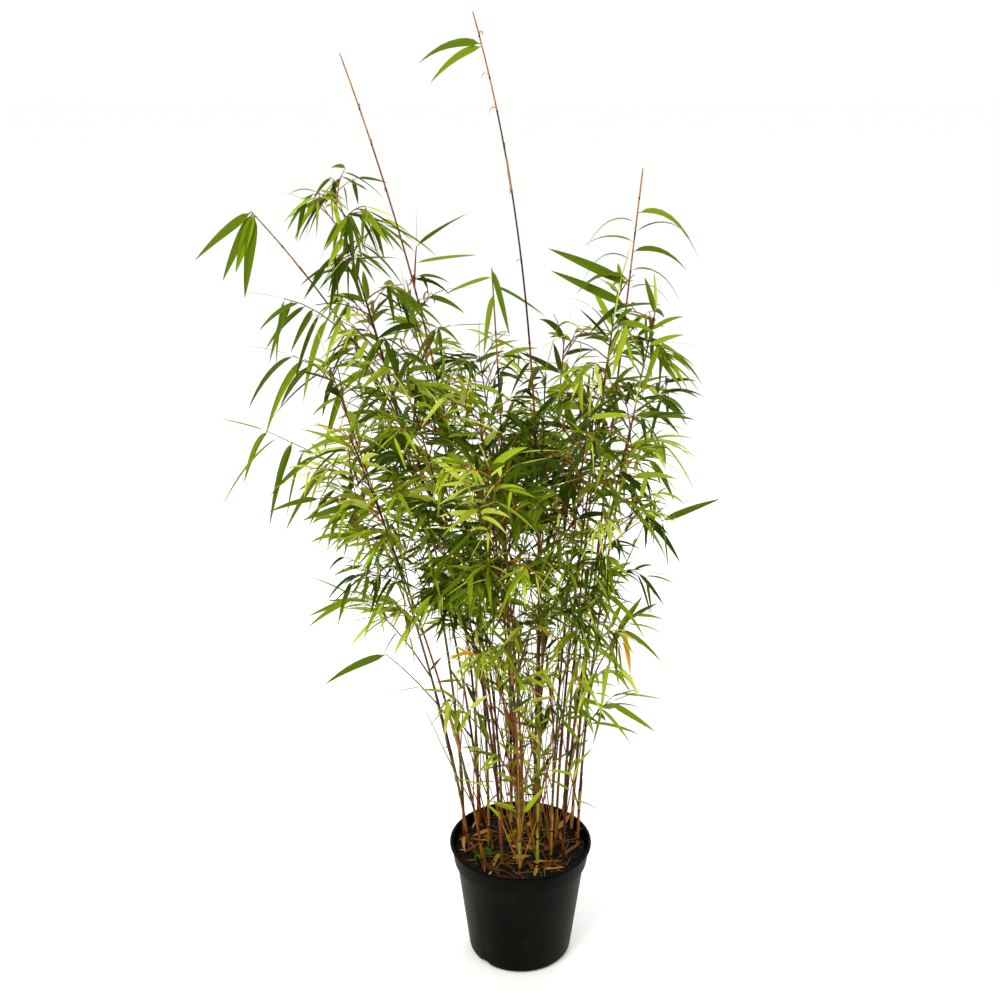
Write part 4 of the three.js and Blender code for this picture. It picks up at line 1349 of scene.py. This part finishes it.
# %% Litter finishes
LITTER_SKINS = {
    "tan": leaf_material("litter_tan", "#b48a44", "#8e682c"),
    "orange": leaf_material("litter_orange", "#7c4a1c", "#5c3412"),
    "brown": leaf_material("litter_brown", "#4a2e16", "#38220f"),
}
print("litter finishes:", ", ".join(LITTER_SKINS))

# %% [markdown]
# The large fallen leaves are listed with the places of both ends, and the small ones are drawn.

# %% Fallen leaves
LARGE_LITTER = [
    # x, y of the root, x, y of the tip, width, curl, skin
    (-93, 24, -89, -42, 7, -0.1, "tan"), (-30, -22, -46, -68, 12, 0.1, "tan"),
    (-14, -36, 12, -60, 11, -0.5, "tan"), (20, -46, 50, -66, 13, -0.3, "tan"),
    (26, 77, 4, 30, 13, 0.2, "tan"), (4, -2, 28, -8, 8, 0.0, "tan"),
    (44, -2, 38, -34, 9, -0.3, "orange"), (60, -34, 100, -4, 6, -0.1, "orange"),
    (94, 52, 106, 22, 8, -0.4, "brown"), (-58, 6, -84, 14, 8, -0.3, "orange"),
    (-66, -40, -40, -74, 7, 0.0, "brown"), (70, -60, 34, -84, 8, -0.1, "tan"),
    (-10, 20, 16, 44, 9, -0.2, "orange"), (62, 44, 84, 72, 9, -0.3, "tan"),
]


def lying_leaf(x, y, angle, length, width, curl, skin, number):
    """A leaf that lies on the mix, its tip a little raised or sunk by its curl."""
    direction = Vector((math.cos(angle), math.sin(angle), number(0.0, 0.22))).normalized()
    across = UP.cross(direction).normalized()
    across.rotate(Matrix.Rotation(number(-0.5, 0.5), 3, direction))
    return dict(root=Vector((x, y, mix_height(x, y) + number(1.5, 4))), direction=direction,
                across=across, length=length, width=width, droop=curl, twist=number(-1.4, 1.4),
                fold=number(0.3, 0.9), dry=False, skin=skin)


number = seeded_numbers(61)
litter = []
for x, y, tip_x, tip_y, width, curl, skin in LARGE_LITTER:
    length = math.hypot(tip_x - x, tip_y - y)
    litter.append(lying_leaf(x, y, math.atan2(tip_y - y, tip_x - x), length, width, curl, skin, number))
for _ in range(70):
    x, y = spot_on_mix(number, 100)
    skin = pick(number, "tan", "tan", "orange", "brown", "brown")
    length = number(10, 42)
    heading = number(0, math.tau)
    if math.hypot(x + length * math.cos(heading), y + length * math.sin(heading)) < 105:
        litter.append(lying_leaf(x, y, heading, length, number(2.5, 7), number(-0.3, 0.15), skin, number))
for skin in LITTER_SKINS:
    rows = [leaf for leaf in litter if leaf["skin"] == skin]
    join_leaves(f"litter_{skin}", rows, [LITTER_SKINS[skin]])

# %% [markdown]
# Straws are thin bits of twig that lie flat with one end raised a little.

# %% Straws
straw_rows = {"straw": [], "rust": []}
for _ in range(90):
    root = Vector((*spot_on_mix(number, 98), 0))
    heading, length = number(0, math.tau), number(12, 52)
    tip = root + heading_at(heading) * length
    if tip.xy.length > 104:
        continue
    root.z, tip.z = mix_height(*root.xy) + number(1, 3), mix_height(*tip.xy) + number(1, 9)
    middle = (root + tip) / 2 + Vector((number(-5, 5), number(-5, 5), number(0, 6)))
    straw_rows["straw" if number(0, 1) < 0.5 else "rust"].append((root, middle, tip, 0.7, 0.35))
for skin, rows in straw_rows.items():
    join_rods(f"straws_{skin}", rows, skin)

# %% [markdown]
# A tuft of weed grows at the left. Its leaves are the same blade again, short, wide and raised.

# %% A tuft of weed
weed = []
for _ in range(46):
    angle, radius = number(0, math.tau), number(0, 16)
    x, y = -62 + radius * math.cos(angle), -24 + radius * math.sin(angle)
    leaf = lying_leaf(x, y, number(0, math.tau), number(6, 12), number(3, 5), -0.2, "weed", number)
    leaf["direction"] = (leaf["direction"] + UP * number(0.2, 1.4)).normalized()
    weed.append(leaf)
weed_skin = leaf_material("weed_leaf_skin", "#41661a", "#4c7422")
join_leaves("weed_tuft", weed, [weed_skin])

# %% [markdown]
# Four old canes have been cut off just above the mix. Each stub is a short slanting cone.

# %% Cut stubs
STUBS = [(-49, 22, 19, 2.4), (-16, 63, 22, 2.8), (8, -8, 12, 2.2), (40, 30, 14, 2.3)]
stub_shape = bmesh.new()
for x, y, height, radius in STUBS:
    tilt = Matrix.Rotation(0.12, 4, "X") @ Matrix.Rotation(-0.08, 4, "Y")
    centre = Matrix.Translation(Vector((x, y, MIX_TOP + height / 2 - 3)) * MM)
    bmesh.ops.create_cone(stub_shape, cap_ends=True, segments=12, radius1=radius * MM,
                          radius2=radius * 0.92 * MM, depth=(height + 6) * MM, matrix=centre @ tilt)
finish_piece("cane_stubs", stub_shape, [CANE_SKINS["olive"]], smooth=False)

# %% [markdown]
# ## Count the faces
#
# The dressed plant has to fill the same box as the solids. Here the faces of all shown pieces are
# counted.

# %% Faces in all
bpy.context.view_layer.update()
total = sum(len(piece.data.loop_triangles) or len(piece.data.polygons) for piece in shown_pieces()
            if piece.type == "MESH" and not piece.hide_render)
print("faces in all:", total)
